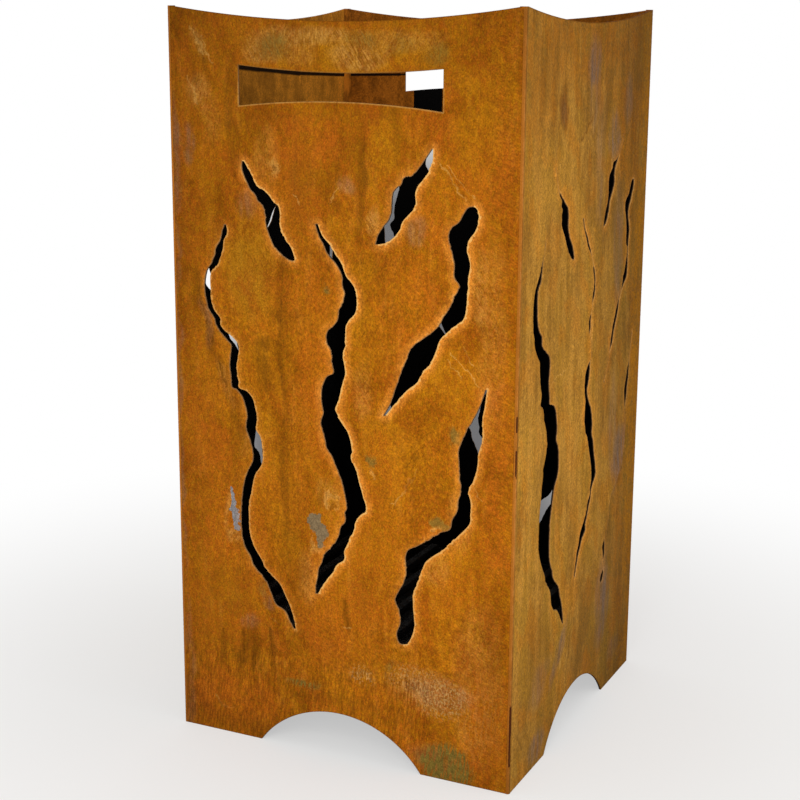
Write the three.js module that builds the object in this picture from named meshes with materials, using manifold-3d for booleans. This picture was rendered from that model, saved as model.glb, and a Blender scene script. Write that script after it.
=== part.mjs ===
import * as THREE from 'three';
import { mergeVertices } from 'three/addons/utils/BufferGeometryUtils.js';
import Module from 'manifold-3d';

const wasm = await Module();
wasm.setup();

// A square fire barrel of weathering steel: four cut plates welded at their corners, and inside them,
// above the air arches, an ash pan on ledges and a fire grate that stands in the pan.
// Millimetres, +Z up. The origin is the middle of the footprint, on the ground. The front faces -Y.

// Barrel
const barrelWidth = 400;
const barrelHeight = 800;
const plateThickness = 2.5;
const rimDip = 14.5;

// Handle slot, with upright ends, an arched lower edge and a sagging upper edge. Its lower corners
// lie this far below the rim's corners.
const handleDrop = 100;
const handleWidth = 230;
const handleEndHeight = 41;
const handleLowerRise = 7;
const handleUpperSag = 6;

// Foot arch in each plate
const archWidth = 196;
const archRise = 50;

// Corner weld: the gap that it fills between two plates, and the fillet inside
const weldRootGap = 1;
const weldInnerLeg = 6;
const openSeamRadius = 0.8;
const seamTaper = 3;

// Ledges, angle strips that carry the pan
const ledgeLeg = 25;
const ledgeThickness = 3;
const ledgeTop = 80;
const ledgeCornerGap = 22.5;

// Ash pan
const panSideClearance = 12.5;
const panHeight = 35;
const panSheet = 2;
const panGripWidth = 90;
const panGripHeight = 13;
const panGripDrop = 8;

// Fire grate
const grateSideClearance = 8;
const grateBarCount = 13;
const grateBarSize = 10;
const grateRailSize = 12;
const grateFootSize = 16;
const grateFootHeight = 18;
const grateFootInset = 30;
const grateChamfer = 1.2;
const grateRailShare = 0.35;

// Clearance under a piece that lifts off, and how far a cutting solid runs past what it cuts
const seatClearance = 0.3;
const cutOverrun = 5;

// Segments of the curved edges
const archSteps = 24;
const rimSteps = 20;
const handleSteps = 12;
const weldSteps = 4;

// Where the near corner's bead leaves the seam open, from and to, as shares of the barrel's height
const openSeamShares = [[0.044, 0.079], [0.428, 0.466], [0.485, 0.508]];

// The six slits of a plate, seen from outside. Each row is a level as a share of the barrel's height,
// then the slit's left and right edge there, as shares of its width from the plate's middle.
const slitShares = {
  upperLeft: [
    [0.804, -0.280, -0.275], [0.795, -0.281, -0.263], [0.785, -0.274, -0.250],
    [0.774, -0.263, -0.239], [0.768, -0.256, -0.217], [0.762, -0.242, -0.201],
    [0.754, -0.234, -0.188], [0.749, -0.221, -0.174], [0.738, -0.213, -0.169],
    [0.724, -0.211, -0.170], [0.710, -0.201, -0.159], [0.696, -0.186, -0.137],
    [0.688, -0.168, -0.130], [0.680, -0.138, -0.128],
  ],
  upperRight: [
    [0.830, 0.259, 0.262], [0.820, 0.245, 0.262], [0.807, 0.226, 0.254], [0.797, 0.207, 0.243],
    [0.793, 0.184, 0.237], [0.785, 0.176, 0.223], [0.777, 0.157, 0.216], [0.761, 0.151, 0.216],
    [0.751, 0.150, 0.203], [0.740, 0.142, 0.182], [0.730, 0.126, 0.174], [0.718, 0.112, 0.155],
    [0.709, 0.107, 0.115],
  ],
  leftLong: [
    [0.720, -0.337, -0.333], [0.713, -0.343, -0.329], [0.698, -0.352, -0.341],
    [0.690, -0.363, -0.343], [0.675, -0.372, -0.353], [0.667, -0.381, -0.360],
    [0.657, -0.395, -0.380], [0.646, -0.401, -0.385], [0.635, -0.403, -0.384],
    [0.616, -0.398, -0.382], [0.603, -0.390, -0.371], [0.595, -0.377, -0.356],
    [0.585, -0.371, -0.354], [0.574, -0.355, -0.328], [0.566, -0.339, -0.306],
    [0.560, -0.327, -0.299], [0.545, -0.328, -0.301], [0.532, -0.330, -0.306],
    [0.512, -0.325, -0.301], [0.503, -0.325, -0.299], [0.499, -0.310, -0.275],
    [0.489, -0.292, -0.256], [0.479, -0.285, -0.250], [0.464, -0.278, -0.244],
    [0.448, -0.281, -0.247], [0.438, -0.275, -0.234], [0.426, -0.268, -0.229],
    [0.401, -0.266, -0.231], [0.386, -0.281, -0.251], [0.362, -0.295, -0.264],
    [0.339, -0.301, -0.274], [0.323, -0.303, -0.274], [0.305, -0.303, -0.273],
    [0.289, -0.299, -0.265], [0.278, -0.291, -0.254], [0.266, -0.274, -0.237],
    [0.255, -0.265, -0.226], [0.245, -0.245, -0.205], [0.234, -0.224, -0.179],
    [0.219, -0.209, -0.163], [0.204, -0.193, -0.148], [0.197, -0.165, -0.143],
    [0.185, -0.151, -0.136], [0.174, -0.138, -0.132],
  ],
  centreLong: [
    [0.729, -0.065, -0.058], [0.714, -0.054, -0.044], [0.705, -0.043, -0.026],
    [0.691, -0.028, -0.006], [0.681, -0.007, 0.010], [0.671, 0.007, 0.018], [0.664, 0.013, 0.025],
    [0.655, 0.013, 0.043], [0.641, 0.020, 0.053], [0.629, 0.013, 0.054], [0.619, 0.003, 0.050],
    [0.608, 0.000, 0.031], [0.599, -0.013, 0.022], [0.591, -0.030, 0.022], [0.583, -0.034, 0.020],
    [0.574, -0.029, 0.021], [0.565, -0.019, 0.014], [0.550, -0.017, 0.018], [0.537, -0.013, 0.021],
    [0.532, -0.030, 0.018], [0.519, -0.044, 0.010], [0.502, -0.048, 0.002], [0.491, -0.045, -0.007],
    [0.482, -0.042, -0.002], [0.470, -0.050, 0.014], [0.461, -0.046, 0.028], [0.446, -0.037, 0.038],
    [0.436, -0.033, 0.041], [0.426, -0.018, 0.038], [0.412, -0.005, 0.052], [0.394, 0.011, 0.062],
    [0.375, 0.021, 0.074], [0.357, 0.026, 0.081], [0.350, 0.022, 0.065], [0.338, 0.022, 0.050],
    [0.330, 0.009, 0.048], [0.318, 0.003, 0.036], [0.306, -0.010, 0.026], [0.297, -0.025, 0.018],
    [0.286, -0.043, 0.018], [0.276, -0.049, -0.005], [0.266, -0.059, -0.015],
    [0.255, -0.062, -0.032], [0.244, -0.067, -0.047], [0.231, -0.069, -0.062],
  ],
  rightLong: [
    [0.762, 0.361, 0.377], [0.754, 0.347, 0.385], [0.744, 0.336, 0.384], [0.734, 0.313, 0.378],
    [0.724, 0.307, 0.363], [0.714, 0.312, 0.356], [0.690, 0.324, 0.365], [0.674, 0.325, 0.360],
    [0.665, 0.338, 0.360], [0.652, 0.327, 0.358], [0.636, 0.313, 0.356], [0.624, 0.297, 0.350],
    [0.613, 0.285, 0.324], [0.603, 0.266, 0.302], [0.594, 0.242, 0.286], [0.580, 0.209, 0.276],
    [0.562, 0.194, 0.259], [0.551, 0.184, 0.240], [0.537, 0.174, 0.225], [0.526, 0.166, 0.199],
    [0.506, 0.152, 0.164], [0.489, 0.133, 0.137],
  ],
  lowerRight: [
    [0.537, 0.413, 0.416], [0.516, 0.399, 0.411], [0.497, 0.381, 0.405], [0.485, 0.367, 0.406],
    [0.470, 0.354, 0.405], [0.454, 0.343, 0.396], [0.438, 0.345, 0.394], [0.420, 0.347, 0.385],
    [0.401, 0.351, 0.370], [0.390, 0.345, 0.377], [0.374, 0.341, 0.377], [0.362, 0.328, 0.376],
    [0.350, 0.323, 0.359], [0.343, 0.297, 0.346], [0.331, 0.264, 0.322], [0.320, 0.231, 0.302],
    [0.311, 0.203, 0.278], [0.300, 0.198, 0.254], [0.286, 0.201, 0.242], [0.266, 0.192, 0.228],
    [0.254, 0.179, 0.219], [0.242, 0.169, 0.219], [0.228, 0.180, 0.221], [0.210, 0.184, 0.224],
    [0.194, 0.174, 0.216], [0.182, 0.182, 0.200],
  ],
};

// Sizes that follow from the ones above
const innerWidth = barrelWidth - 2 * plateThickness;
const plateWidth = innerWidth - 2 * weldRootGap;
const handleBottom = barrelHeight - handleDrop;
const ledgeLength = innerWidth - 2 * ledgeLeg - 2 * ledgeCornerGap;
const panWidth = innerWidth - 2 * panSideClearance;
const panBottom = ledgeTop + seatClearance;
const grateWidth = panWidth - 2 * panSheet - 2 * grateSideClearance;
const grateFootBottom = panBottom + panSheet + seatClearance;
const grateRailBottom = grateFootBottom + grateFootHeight;
const grateBarBottom = grateRailBottom + grateRailSize;
const grateRailPlace = grateWidth * grateRailShare;
const grateFootPlace = grateWidth / 2 - grateFootInset;

const quarterTurn = Math.PI / 2;

// Points of a circular arc over a level chord. A negative rise makes it sag.
function levelArc(fromX, toX, level, rise, steps) {
  const half = Math.abs(toX - fromX) / 2;
  const radius = (half * half + rise * rise) / (2 * Math.abs(rise));
  const side = Math.sign(rise);
  const centre = new THREE.Vector2((fromX + toX) / 2, level + rise - side * radius);
  const reach = Math.asin(half / radius) * Math.sign(toX - fromX);
  const points = [];
  for (let i = 0; i <= steps; i += 1) {
    const angle = reach * (2 * i / steps - 1);
    const spoke = new THREE.Vector2(Math.sin(angle), side * Math.cos(angle));
    points.push(centre.clone().addScaledVector(spoke, radius));
  }
  return points;
}

// The cut edge of one slit: down its right edge and up its left edge
function slitPoints(stations) {
  const down = stations.map(([up, , right]) => new THREE.Vector2(right * barrelWidth, up * barrelHeight));
  const back = stations.map(([up, left]) => new THREE.Vector2(left * barrelWidth, up * barrelHeight));
  return down.concat(back.reverse());
}

function handlePoints() {
  const left = -handleWidth / 2;
  const right = handleWidth / 2;
  const lower = levelArc(left, right, handleBottom, handleLowerRise, handleSteps);
  const upper = levelArc(right, left, handleBottom + handleEndHeight, -handleUpperSag, handleSteps);
  return lower.concat(upper);
}

// A plate with its rim, foot arch and slits, flat in XY and raised along Z
function plateGeometry(hasHandle) {
  const left = -plateWidth / 2;
  const right = plateWidth / 2;
  const outline = [new THREE.Vector2(left, 0)]
    .concat(levelArc(-archWidth / 2, archWidth / 2, 0, archRise, archSteps))
    .concat([new THREE.Vector2(right, 0)])
    .concat(levelArc(right, left, barrelHeight, -rimDip, rimSteps));
  const shape = new THREE.Shape(outline);
  for (const stations of Object.values(slitShares)) {
    shape.holes.push(new THREE.Path(slitPoints(stations)));
  }
  if (hasHandle) {
    shape.holes.push(new THREE.Path(handlePoints()));
  }
  return new THREE.ExtrudeGeometry(shape, { depth: plateThickness, bevelEnabled: false });
}

// Section of a corner weld: the outer round, the root between the plates and the inner fillet
function weldSection(radius) {
  const points = [new THREE.Vector2(-weldRootGap, -radius)];
  for (let i = 0; i <= weldSteps; i += 1) {
    const angle = quarterTurn * (i / weldSteps - 1);
    points.push(new THREE.Vector2(radius * Math.cos(angle), radius * Math.sin(angle)));
  }
  points.push(new THREE.Vector2(radius, weldRootGap));
  points.push(new THREE.Vector2(0, weldRootGap));
  points.push(new THREE.Vector2(0, weldInnerLeg));
  points.push(new THREE.Vector2(-weldInnerLeg, 0));
  points.push(new THREE.Vector2(-weldRootGap, 0));
  return points;
}

// A solid through sections of as many points each, stacked at rising levels
function stackedGeometry(sections, levels) {
  const count = sections[0].length;
  const positions = [];
  sections.forEach((section, row) => {
    section.forEach((point) => positions.push(point.x, point.y, levels[row]));
  });
  const indices = [];
  for (let row = 0; row < sections.length - 1; row += 1) {
    for (let i = 0; i < count; i += 1) {
      const low = row * count + i;
      const lowNext = row * count + (i + 1) % count;
      indices.push(low, lowNext, lowNext + count);
      indices.push(low, lowNext + count, low + count);
    }
  }
  const top = (sections.length - 1) * count;
  for (const [a, b, c] of THREE.ShapeUtils.triangulateShape(sections[0], [])) {
    indices.push(a, c, b);
    indices.push(top + a, top + b, top + c);
  }
  const geometry = new THREE.BufferGeometry();
  geometry.setAttribute('position', new THREE.Float32BufferAttribute(positions, 3));
  geometry.setIndex(indices);
  geometry.computeVertexNormals();
  return geometry;
}

// A corner weld of the barrel's height that sinks to its root in the open stretches
function weldGeometry(openShares) {
  const levels = [0];
  const radii = [plateThickness];
  for (const [fromShare, toShare] of openShares) {
    const from = fromShare * barrelHeight;
    const to = toShare * barrelHeight;
    levels.push(from - seamTaper, from, to, to + seamTaper);
    radii.push(plateThickness, openSeamRadius, openSeamRadius, plateThickness);
  }
  levels.push(barrelHeight);
  radii.push(plateThickness);
  return stackedGeometry(radii.map(weldSection), levels);
}

// Extruded shapes lie in XY and rise along Z. These turn them to run along X or along Y.
const axisX = new THREE.Vector3(1, 0, 0);
const axisY = new THREE.Vector3(0, 1, 0);
const axisZ = new THREE.Vector3(0, 0, 1);
const alongX = new THREE.Matrix4().makeBasis(axisY, axisZ, axisX);
const alongY = new THREE.Matrix4().makeBasis(axisZ, axisX, axisY);

function extruded(points, length, turn) {
  const geometry = new THREE.ExtrudeGeometry(new THREE.Shape(points), { depth: length, bevelEnabled: false });
  geometry.translate(0, 0, -length / 2);
  return turn ? geometry.applyMatrix4(turn) : geometry;
}

// Angle section: the upright leg against the wall, the level leg on top, its upper corner at zero
function anglePoints() {
  return [
    new THREE.Vector2(0, -ledgeLeg),
    new THREE.Vector2(ledgeThickness, -ledgeLeg),
    new THREE.Vector2(ledgeThickness, -ledgeThickness),
    new THREE.Vector2(ledgeLeg, -ledgeThickness),
    new THREE.Vector2(ledgeLeg, 0),
    new THREE.Vector2(0, 0),
  ];
}

// Square bar section with its four corners chamfered
function barPoints(size) {
  const half = size / 2;
  const flat = half - grateChamfer;
  const points = [];
  for (let i = 0; i < 4; i += 1) {
    points.push(new THREE.Vector2(half, -flat).rotateAround(new THREE.Vector2(), i * quarterTurn));
    points.push(new THREE.Vector2(half, flat).rotateAround(new THREE.Vector2(), i * quarterTurn));
  }
  return points;
}

function solidOf(geometry) {
  const bare = geometry.clone();
  bare.deleteAttribute('normal');
  bare.deleteAttribute('uv');
  const merged = mergeVertices(bare);
  return new wasm.Manifold(new wasm.Mesh({
    numProp: 3,
    vertProperties: new Float32Array(merged.getAttribute('position').array),
    triVerts: new Uint32Array(merged.getIndex().array),
  }));
}

function geometryOf(solid) {
  const mesh = solid.getMesh();
  const geometry = new THREE.BufferGeometry();
  geometry.setAttribute('position', new THREE.BufferAttribute(new Float32Array(mesh.vertProperties), 3));
  geometry.setIndex(new THREE.BufferAttribute(new Uint32Array(mesh.triVerts), 1));
  geometry.computeVertexNormals();
  return geometry;
}

// A box on the level z, centred over the origin
function boxOn(width, depth, height, z) {
  return new THREE.BoxGeometry(width, depth, height).translate(0, 0, z + height / 2);
}

// The folded tray, open at the top, with a grip slot through its front and back walls
function panGeometry() {
  const insideWidth = panWidth - 2 * panSheet;
  const gripBottom = panHeight - panGripDrop - panGripHeight;
  const outside = solidOf(boxOn(panWidth, panWidth, panHeight, 0));
  const inside = solidOf(boxOn(insideWidth, insideWidth, panHeight + cutOverrun, panSheet));
  const grips = solidOf(boxOn(panGripWidth, panWidth + 2 * cutOverrun, panGripHeight, gripBottom));
  return geometryOf(outside.subtract(inside).subtract(grips));
}

const steel = {
  plate: { color: 0xa1600f, roughness: 0.85, metalness: 0.15 },
  weld: { color: 0x8a5218, roughness: 0.7, metalness: 0.3 },
  ledge: { color: 0x6b4320, roughness: 0.9, metalness: 0.1 },
  pan: { color: 0x4b3a2e, roughness: 0.8, metalness: 0.4 },
  grate: { color: 0x3a302a, roughness: 0.75, metalness: 0.5 },
};

function piece(name, geometry, finish) {
  const mesh = new THREE.Mesh(geometry, new THREE.MeshStandardMaterial(finish));
  mesh.name = name;
  return mesh;
}

// Four plates and the ledge on each, turned about the barrel's upright axis
function makeWalls() {
  const walls = new THREE.Group();
  ['front', 'right', 'back', 'left'].forEach((side, turns) => {
    const plate = piece(`wall_${side}`, plateGeometry(turns % 2 === 0), steel.plate);
    plate.rotation.x = quarterTurn;
    plate.position.y = -innerWidth / 2;
    const ledge = piece(`pan_ledge_${side}`, extruded(anglePoints(), ledgeLength, alongX), steel.ledge);
    ledge.position.set(0, -innerWidth / 2, ledgeTop);
    const turned = new THREE.Group();
    turned.rotation.z = turns * quarterTurn;
    turned.add(plate, ledge);
    walls.add(turned);
  });
  return walls;
}

function makeWelds() {
  const welds = new THREE.Group();
  ['front_right', 'back_right', 'back_left', 'front_left'].forEach((corner, turns) => {
    const open = corner === 'front_right' ? openSeamShares : [];
    const weld = piece(`corner_weld_${corner}`, weldGeometry(open), steel.weld);
    weld.position.set(innerWidth / 2, -innerWidth / 2, 0);
    const turned = new THREE.Group();
    turned.rotation.z = turns * quarterTurn;
    turned.add(weld);
    welds.add(turned);
  });
  return welds;
}

function makePan() {
  const pan = piece('ash_pan', panGeometry(), steel.pan);
  pan.position.z = panBottom;
  return pan;
}

// Bars from front to back on two cross rails, with a foot under each end of the rails
function makeGrate() {
  const grate = new THREE.Group();
  const firstBarPlace = (grateBarSize - grateWidth) / 2;
  const barPitch = (grateWidth - grateBarSize) / (grateBarCount - 1);
  for (let i = 0; i < grateBarCount; i += 1) {
    const number = String(i + 1).padStart(2, '0');
    const barForm = extruded(barPoints(grateBarSize), grateWidth, alongY);
    const bar = piece(`grate_bar_${number}`, barForm, steel.grate);
    bar.position.set(firstBarPlace + i * barPitch, 0, grateBarBottom + grateBarSize / 2);
    grate.add(bar);
  }
  for (const [end, y] of [['front', -grateRailPlace], ['back', grateRailPlace]]) {
    const railForm = extruded(barPoints(grateRailSize), grateWidth, alongX);
    const rail = piece(`grate_rail_${end}`, railForm, steel.grate);
    rail.position.set(0, y, grateRailBottom + grateRailSize / 2);
    grate.add(rail);
    for (const [side, x] of [['left', -grateFootPlace], ['right', grateFootPlace]]) {
      const footForm = extruded(barPoints(grateFootSize), grateFootHeight);
      const foot = piece(`grate_foot_${end}_${side}`, footForm, steel.grate);
      foot.position.set(x, y, grateFootBottom + grateFootHeight / 2);
      grate.add(foot);
    }
  }
  return grate;
}

const barrel = new THREE.Group();
barrel.add(makeWalls(), makeWelds(), makePan(), makeGrate());

export default barrel;
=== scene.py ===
import math

import bmesh
import bpy
import numpy as np
from mathutils import Matrix, Vector, kdtree, noise
from mathutils.geometry import delaunay_2d_cdt


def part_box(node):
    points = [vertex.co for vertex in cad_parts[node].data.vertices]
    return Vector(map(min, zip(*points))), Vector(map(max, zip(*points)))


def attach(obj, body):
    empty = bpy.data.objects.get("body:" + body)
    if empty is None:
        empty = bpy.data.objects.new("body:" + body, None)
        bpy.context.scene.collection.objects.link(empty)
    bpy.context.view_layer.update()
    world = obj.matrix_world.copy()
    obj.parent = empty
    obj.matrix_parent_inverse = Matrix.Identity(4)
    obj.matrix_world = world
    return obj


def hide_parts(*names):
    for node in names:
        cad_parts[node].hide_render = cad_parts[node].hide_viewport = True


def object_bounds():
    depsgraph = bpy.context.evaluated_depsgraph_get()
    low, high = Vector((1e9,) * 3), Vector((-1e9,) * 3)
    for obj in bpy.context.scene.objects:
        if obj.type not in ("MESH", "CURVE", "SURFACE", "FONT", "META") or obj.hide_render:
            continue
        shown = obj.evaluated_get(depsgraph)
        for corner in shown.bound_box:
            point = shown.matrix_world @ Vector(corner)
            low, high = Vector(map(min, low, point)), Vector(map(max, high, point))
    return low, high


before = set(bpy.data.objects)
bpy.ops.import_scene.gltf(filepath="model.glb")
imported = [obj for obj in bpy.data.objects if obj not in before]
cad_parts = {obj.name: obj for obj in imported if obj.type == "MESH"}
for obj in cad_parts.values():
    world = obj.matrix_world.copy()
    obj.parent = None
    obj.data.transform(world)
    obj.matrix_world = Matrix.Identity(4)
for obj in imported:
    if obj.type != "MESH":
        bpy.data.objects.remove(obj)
cad_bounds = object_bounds()

bl_info = {
    "name": "Fire Barrel",
    "version": (1, 0, 0),
    "blender": (4, 5, 0),
    "location": "View3D > Sidebar > Fire Barrel",
    "description": "Dresses the solids of a square fire barrel in rusted plate, weld and bar",
    "category": "Object",
}

MM = 0.001

# Each plate's two directions: across it, to the right as seen from outside, and out of it
SIDES = {
    "front": (Vector((1, 0, 0)), Vector((0, -1, 0))),
    "right": (Vector((0, 1, 0)), Vector((1, 0, 0))),
    "back": (Vector((-1, 0, 0)), Vector((0, 1, 0))),
    "left": (Vector((0, -1, 0)), Vector((-1, 0, 0))),
}
UP = Vector((0, 0, 1))

# Each plate is like the front one or the right one
LIKE = {"front": "front", "right": "right", "back": "front", "left": "right"}

# Sizes of the solids, from the frame
BARREL_HIGH = cad_bounds[1]
HALF_WIDTH = BARREL_HIGH.x
HEIGHT = BARREL_HIGH.z
FRONT_LOW, FRONT_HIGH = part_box("wall_front")
PLATE = FRONT_HIGH.y - FRONT_LOW.y
PLATE_HALF = FRONT_HIGH.x

# Vertices of the solids nearer than this are one vertex
SAME_POINT = 0.01 * MM

# The blunt tip of a slit is no wider than this
TIP_WIDTH = 3 * MM

# Corners of an outline that turn by more than this stay sharp, in a slit and elsewhere
SLIT_TURN = math.radians(100)
FRAME_TURN = math.radians(25)

# Edges that turn by more than this, in degrees, are shaded sharp, on the plates and on the other pieces
PLATE_SHARP = 32
PIECE_SHARP = 50

# A solid's edges that turn by more than this, in degrees, are rounded, in so many steps
ROUNDED_TURN = 30
ROUNDED_STEPS = 3


def srgb(code):
    """The linear colour of a written one, such as "a16010"."""
    parts = [int(code[i:i + 2], 16) / 255 for i in (0, 2, 4)]
    return tuple(p / 12.92 if p <= 0.04045 else ((p + 0.055) / 1.055) ** 2.4 for p in parts)


def colour(name, description, code):
    return bpy.props.FloatVectorProperty(
        name=name, description=description, default=srgb(code), size=3, min=0, max=1, subtype="COLOR"
    )


def length(name, description, value):
    return bpy.props.FloatProperty(
        name=name, description=description, default=value, min=0, soft_max=1, precision=5,
        subtype="DISTANCE", unit="LENGTH"
    )


def share(name, description, value, top=1.0):
    return bpy.props.FloatProperty(
        name=name, description=description, default=value, min=0, max=top, subtype="FACTOR"
    )


class BarrelPlateSettings(bpy.types.PropertyGroup):
    """The four plates"""
    mesh_step: length("Mesh step", "Spacing of the plate's vertices", 4 * MM)
    fine_step: length("Fine step", "Spacing of the vertices beside a slit", 2 * MM)
    fine_reach: length("Fine reach", "How far from a slit the fine spacing goes", 8 * MM)
    cut_step: length("Cut step", "Spacing of the points along a cut edge", 1.3 * MM)
    cut_lumps: length("Cut lumps", "How far the lumps of a torch-cut edge stand out", 1.1 * MM)
    edge_break: length("Edge break", "Width of the broken edge of a cut", 0.35 * MM)
    bulge_front: length("Front bulge", "How far heat has bowed the front plate out", 1.5 * MM)
    bulge_right: length("Right bulge", "How far heat has bowed the right plate out", 6 * MM)
    bulge_back: length("Back bulge", "How far heat has bowed the back plate out", 4 * MM)
    bulge_left: length("Left bulge", "How far heat has bowed the left plate out", 5 * MM)
    lips_front: share("Front lips", "Share of the slit lips' bend on the front plate", 0.5)
    lips_right: share("Right lips", "Share of the slit lips' bend on the right plate", 1.0)
    lips_back: share("Back lips", "Share of the slit lips' bend on the back plate", 0.7)
    lips_left: share("Left lips", "Share of the slit lips' bend on the left plate", 0.8)
    rust: colour("Rust", "Main colour of the rust", "ab630c")
    rust_deep: colour("Deep rust", "Darker rust", "8c4d04")
    rust_bright: colour("Bright rust", "Lighter orange rust", "c27820")
    rust_red: colour("Red rust", "Redder rust", "b85c14")
    rust_gold: colour("Gold rust", "Yellower rust", "b5780c")
    # The side plates' greyer ochre is partly their rust and partly painted sheen, the paling that light
    # glancing off them gives
    ochre: colour("Ochre", "Ochre rust of the side plates", "ae7c30")
    ochre_deep: colour("Deep ochre", "Darker ochre of the side plates", "845a1c")
    ochre_grey: colour("Grey ochre", "Greyer ochre of the side plates", "966b20")
    umber: colour("Umber", "Stains and run marks", "6e3f04")
    olive: colour("Olive", "Patches where the mill scale shows through", "7a6428")
    pale: colour("Pale rust", "Scratches and worn spots", "d09a4c")
    worn: colour("Worn rust", "Dots of a worn, stippled patch", "c49a5c")
    glow: colour("Heated rust", "Orange rust beside the cuts", "dc8830")
    rim: colour("Cut rim", "Lit rim of a cut", "f2b866")
    bare: colour("Bare steel", "Spots where bare steel shows", "7c6c50")
    ground: colour("Ground steel", "Steel ground bare in a narrow sliver", "82868a")
    plum: colour("Plum scale", "Purple-grey scale", "7a6250")
    inner: colour("Inner rust", "Rust inside the barrel", "a86118")
    inner_ochre: colour("Inner ochre", "Rust inside the left plate", "a4681c")
    # The soot colour also paints the black inside below the rim, which is painted shade, and the painted
    # shadow lines under the handle slot
    soot: colour("Soot", "Soot inside the barrel", "050404")
    cut_face: colour("Cut face", "Face that the torch has cut", "8a6844")


class BarrelWeldSettings(bpy.types.PropertyGroup):
    """The four corner welds"""
    step: length("Step", "Spacing of the bead's rings", 2 * MM)
    ripple_pitch: length("Ripple pitch", "Distance from one ripple of the bead to the next", 5 * MM)
    ripple_height: length("Ripple height", "Height of a ripple of the bead", 0.25 * MM)
    crown: length("Crown", "How far the inner bead rises over a flat fillet", 0.8 * MM)
    front_rust: colour("Front rust", "Colour of the bead beside the front and back plates", "a0601e")
    # Partly painted sheen, as the side plates' ochre
    side_rust: colour("Side rust", "Colour of the bead beside the side plates", "97682a")
    # Painted highlight: the light line along the bead's ridge
    light: colour("Ground edge", "Light line where the bead was ground", "a76c36")
    open_depth: share("Open depth", "How deep an open place of the seam is, as a share of the solid's", 0.35)
    seam: colour("Seam", "Dark line where the bead ends", "7c4c14")
    gap: colour("Gap", "Ragged line where the seam is open", "4a240e")


class BarrelInsideSettings(bpy.types.PropertyGroup):
    """The ledges, the ash pan and the grate"""
    fold_radius: length("Fold radius", "Rounding of the pan's edges", 0.6 * MM)
    toe_radius: length("Toe radius", "Rounding of the ledges' edges", 0.8 * MM)
    bar_corner: length("Bar corner", "Rounding of the square bars", 1.2 * MM)
    bar_warp: length("Bar warp", "How far heat has pulled the bars out of line", 0.12 * MM)
    scale: colour("Scale", "Blue-grey scale on heated bars", "151210")
    rust: colour("Rust", "Rust on the inner pieces", "3c2410")
    soot: colour("Soot", "Soot on the inner pieces", "0b0908")
    ash: colour("Ash", "Ash dust", "3a352f")


class BarrelStageSettings(bpy.types.PropertyGroup):
    """The camera, the lights and the floor"""
    camera_place: bpy.props.FloatVectorProperty(
        name="Camera place", description="Where the camera stands", size=3,
        default=(0.7516, -1.6212, 0.7876), subtype="TRANSLATION", unit="LENGTH"
    )
    camera_turn: bpy.props.FloatVectorProperty(
        name="Camera turn", description="Pitch over the level, roll and turn about the upright axis",
        size=3, default=tuple(math.radians(a) for a in (-12.96, 0.38, 25.59)), subtype="EULER",
        unit="ROTATION"
    )
    lens: bpy.props.FloatProperty(
        name="Lens", description="Focal length", default=71.53, min=10, unit="CAMERA"
    )
    shift: bpy.props.FloatProperty(
        name="Shift", description="Upright shift of the lens, in picture widths", default=-0.01875
    )
    floor_size: length("Floor size", "Side of the floor", 30.0)
    floor: colour("Floor", "Colour of the floor", "eceae6")
    near_white: share("Near white", "How much of the floor's white shows right by the barrel", 0.5)
    shadow: colour("Shadow", "Floor in the long soft shadow behind the barrel", "828284")
    sky_strength: share("Sky strength", "Light that comes evenly from all round", 0.62, 4)
    key_power: bpy.props.FloatProperty(
        name="Key power", description="Power of the large lamp at the front", default=52, min=0,
        unit="POWER"
    )
    fill_power: bpy.props.FloatProperty(
        name="Fill power", description="Power of the lamp at the right", default=14, min=0,
        unit="POWER"
    )


# Outlines of the plates

def outer_loops(side):
    """The closed outlines of a plate's outer face, each an array of (across, up), steel on the left."""
    along, outward = SIDES[side]
    plate = bmesh.new()
    plate.from_mesh(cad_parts[f"wall_{side}"].data)
    bmesh.ops.remove_doubles(plate, verts=plate.verts, dist=SAME_POINT)
    edges = set()
    for face in plate.faces:
        if face.normal.dot(outward) > 0.9:
            edges.update((e.vert.index, e.link_loop_next.vert.index) for e in face.loops)
    places = [(v.co.dot(along), v.co.z) for v in plate.verts]
    plate.free()
    follows = {a: b for a, b in edges if (b, a) not in edges}
    loops = []
    while follows:
        vertex = min(follows)
        loop = []
        while vertex in follows:
            loop.append(places[vertex])
            vertex = follows.pop(vertex)
        loops.append(np.array(loop))
    return sorted(loops, key=lambda loop: np.prod(np.ptp(loop, axis=0)), reverse=True)


def turned_left(directions):
    return np.stack([-directions[:, 1], directions[:, 0]], axis=1)


def unit(vectors):
    return vectors / np.maximum(np.linalg.norm(vectors, axis=1, keepdims=True), 1e-12)


def curved(points, step, corner):
    """The closed outline curved through its points, but for its tips and corners sharper than a turn."""
    ahead = np.roll(points, -1, axis=0) - points
    reach = np.linalg.norm(ahead, axis=1)
    after = unit(ahead)
    before = np.roll(after, 1, axis=0)
    tangent = unit(before * reach[:, None] + after * np.roll(reach, 1)[:, None])
    short = reach < TIP_WIDTH
    sharp = (np.einsum("ij,ij->i", before, after) < math.cos(corner)) | short | np.roll(short, 1)
    leaving = np.where(sharp[:, None], after, tangent)
    arriving = np.where(sharp[:, None], before, tangent)
    result = []
    for i, start in enumerate(points):
        j = (i + 1) % len(points)
        for t in np.arange(max(1, round(reach[i] / step))) / max(1, round(reach[i] / step)):
            bend = (t - 1) ** 2 * t * leaving[i] + t * t * (t - 1) * arriving[j]
            ease = t * t * (3 - 2 * t)
            result.append(start * (1 - ease) + points[j] * ease + reach[i] * bend)
    return np.array(result)


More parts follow.
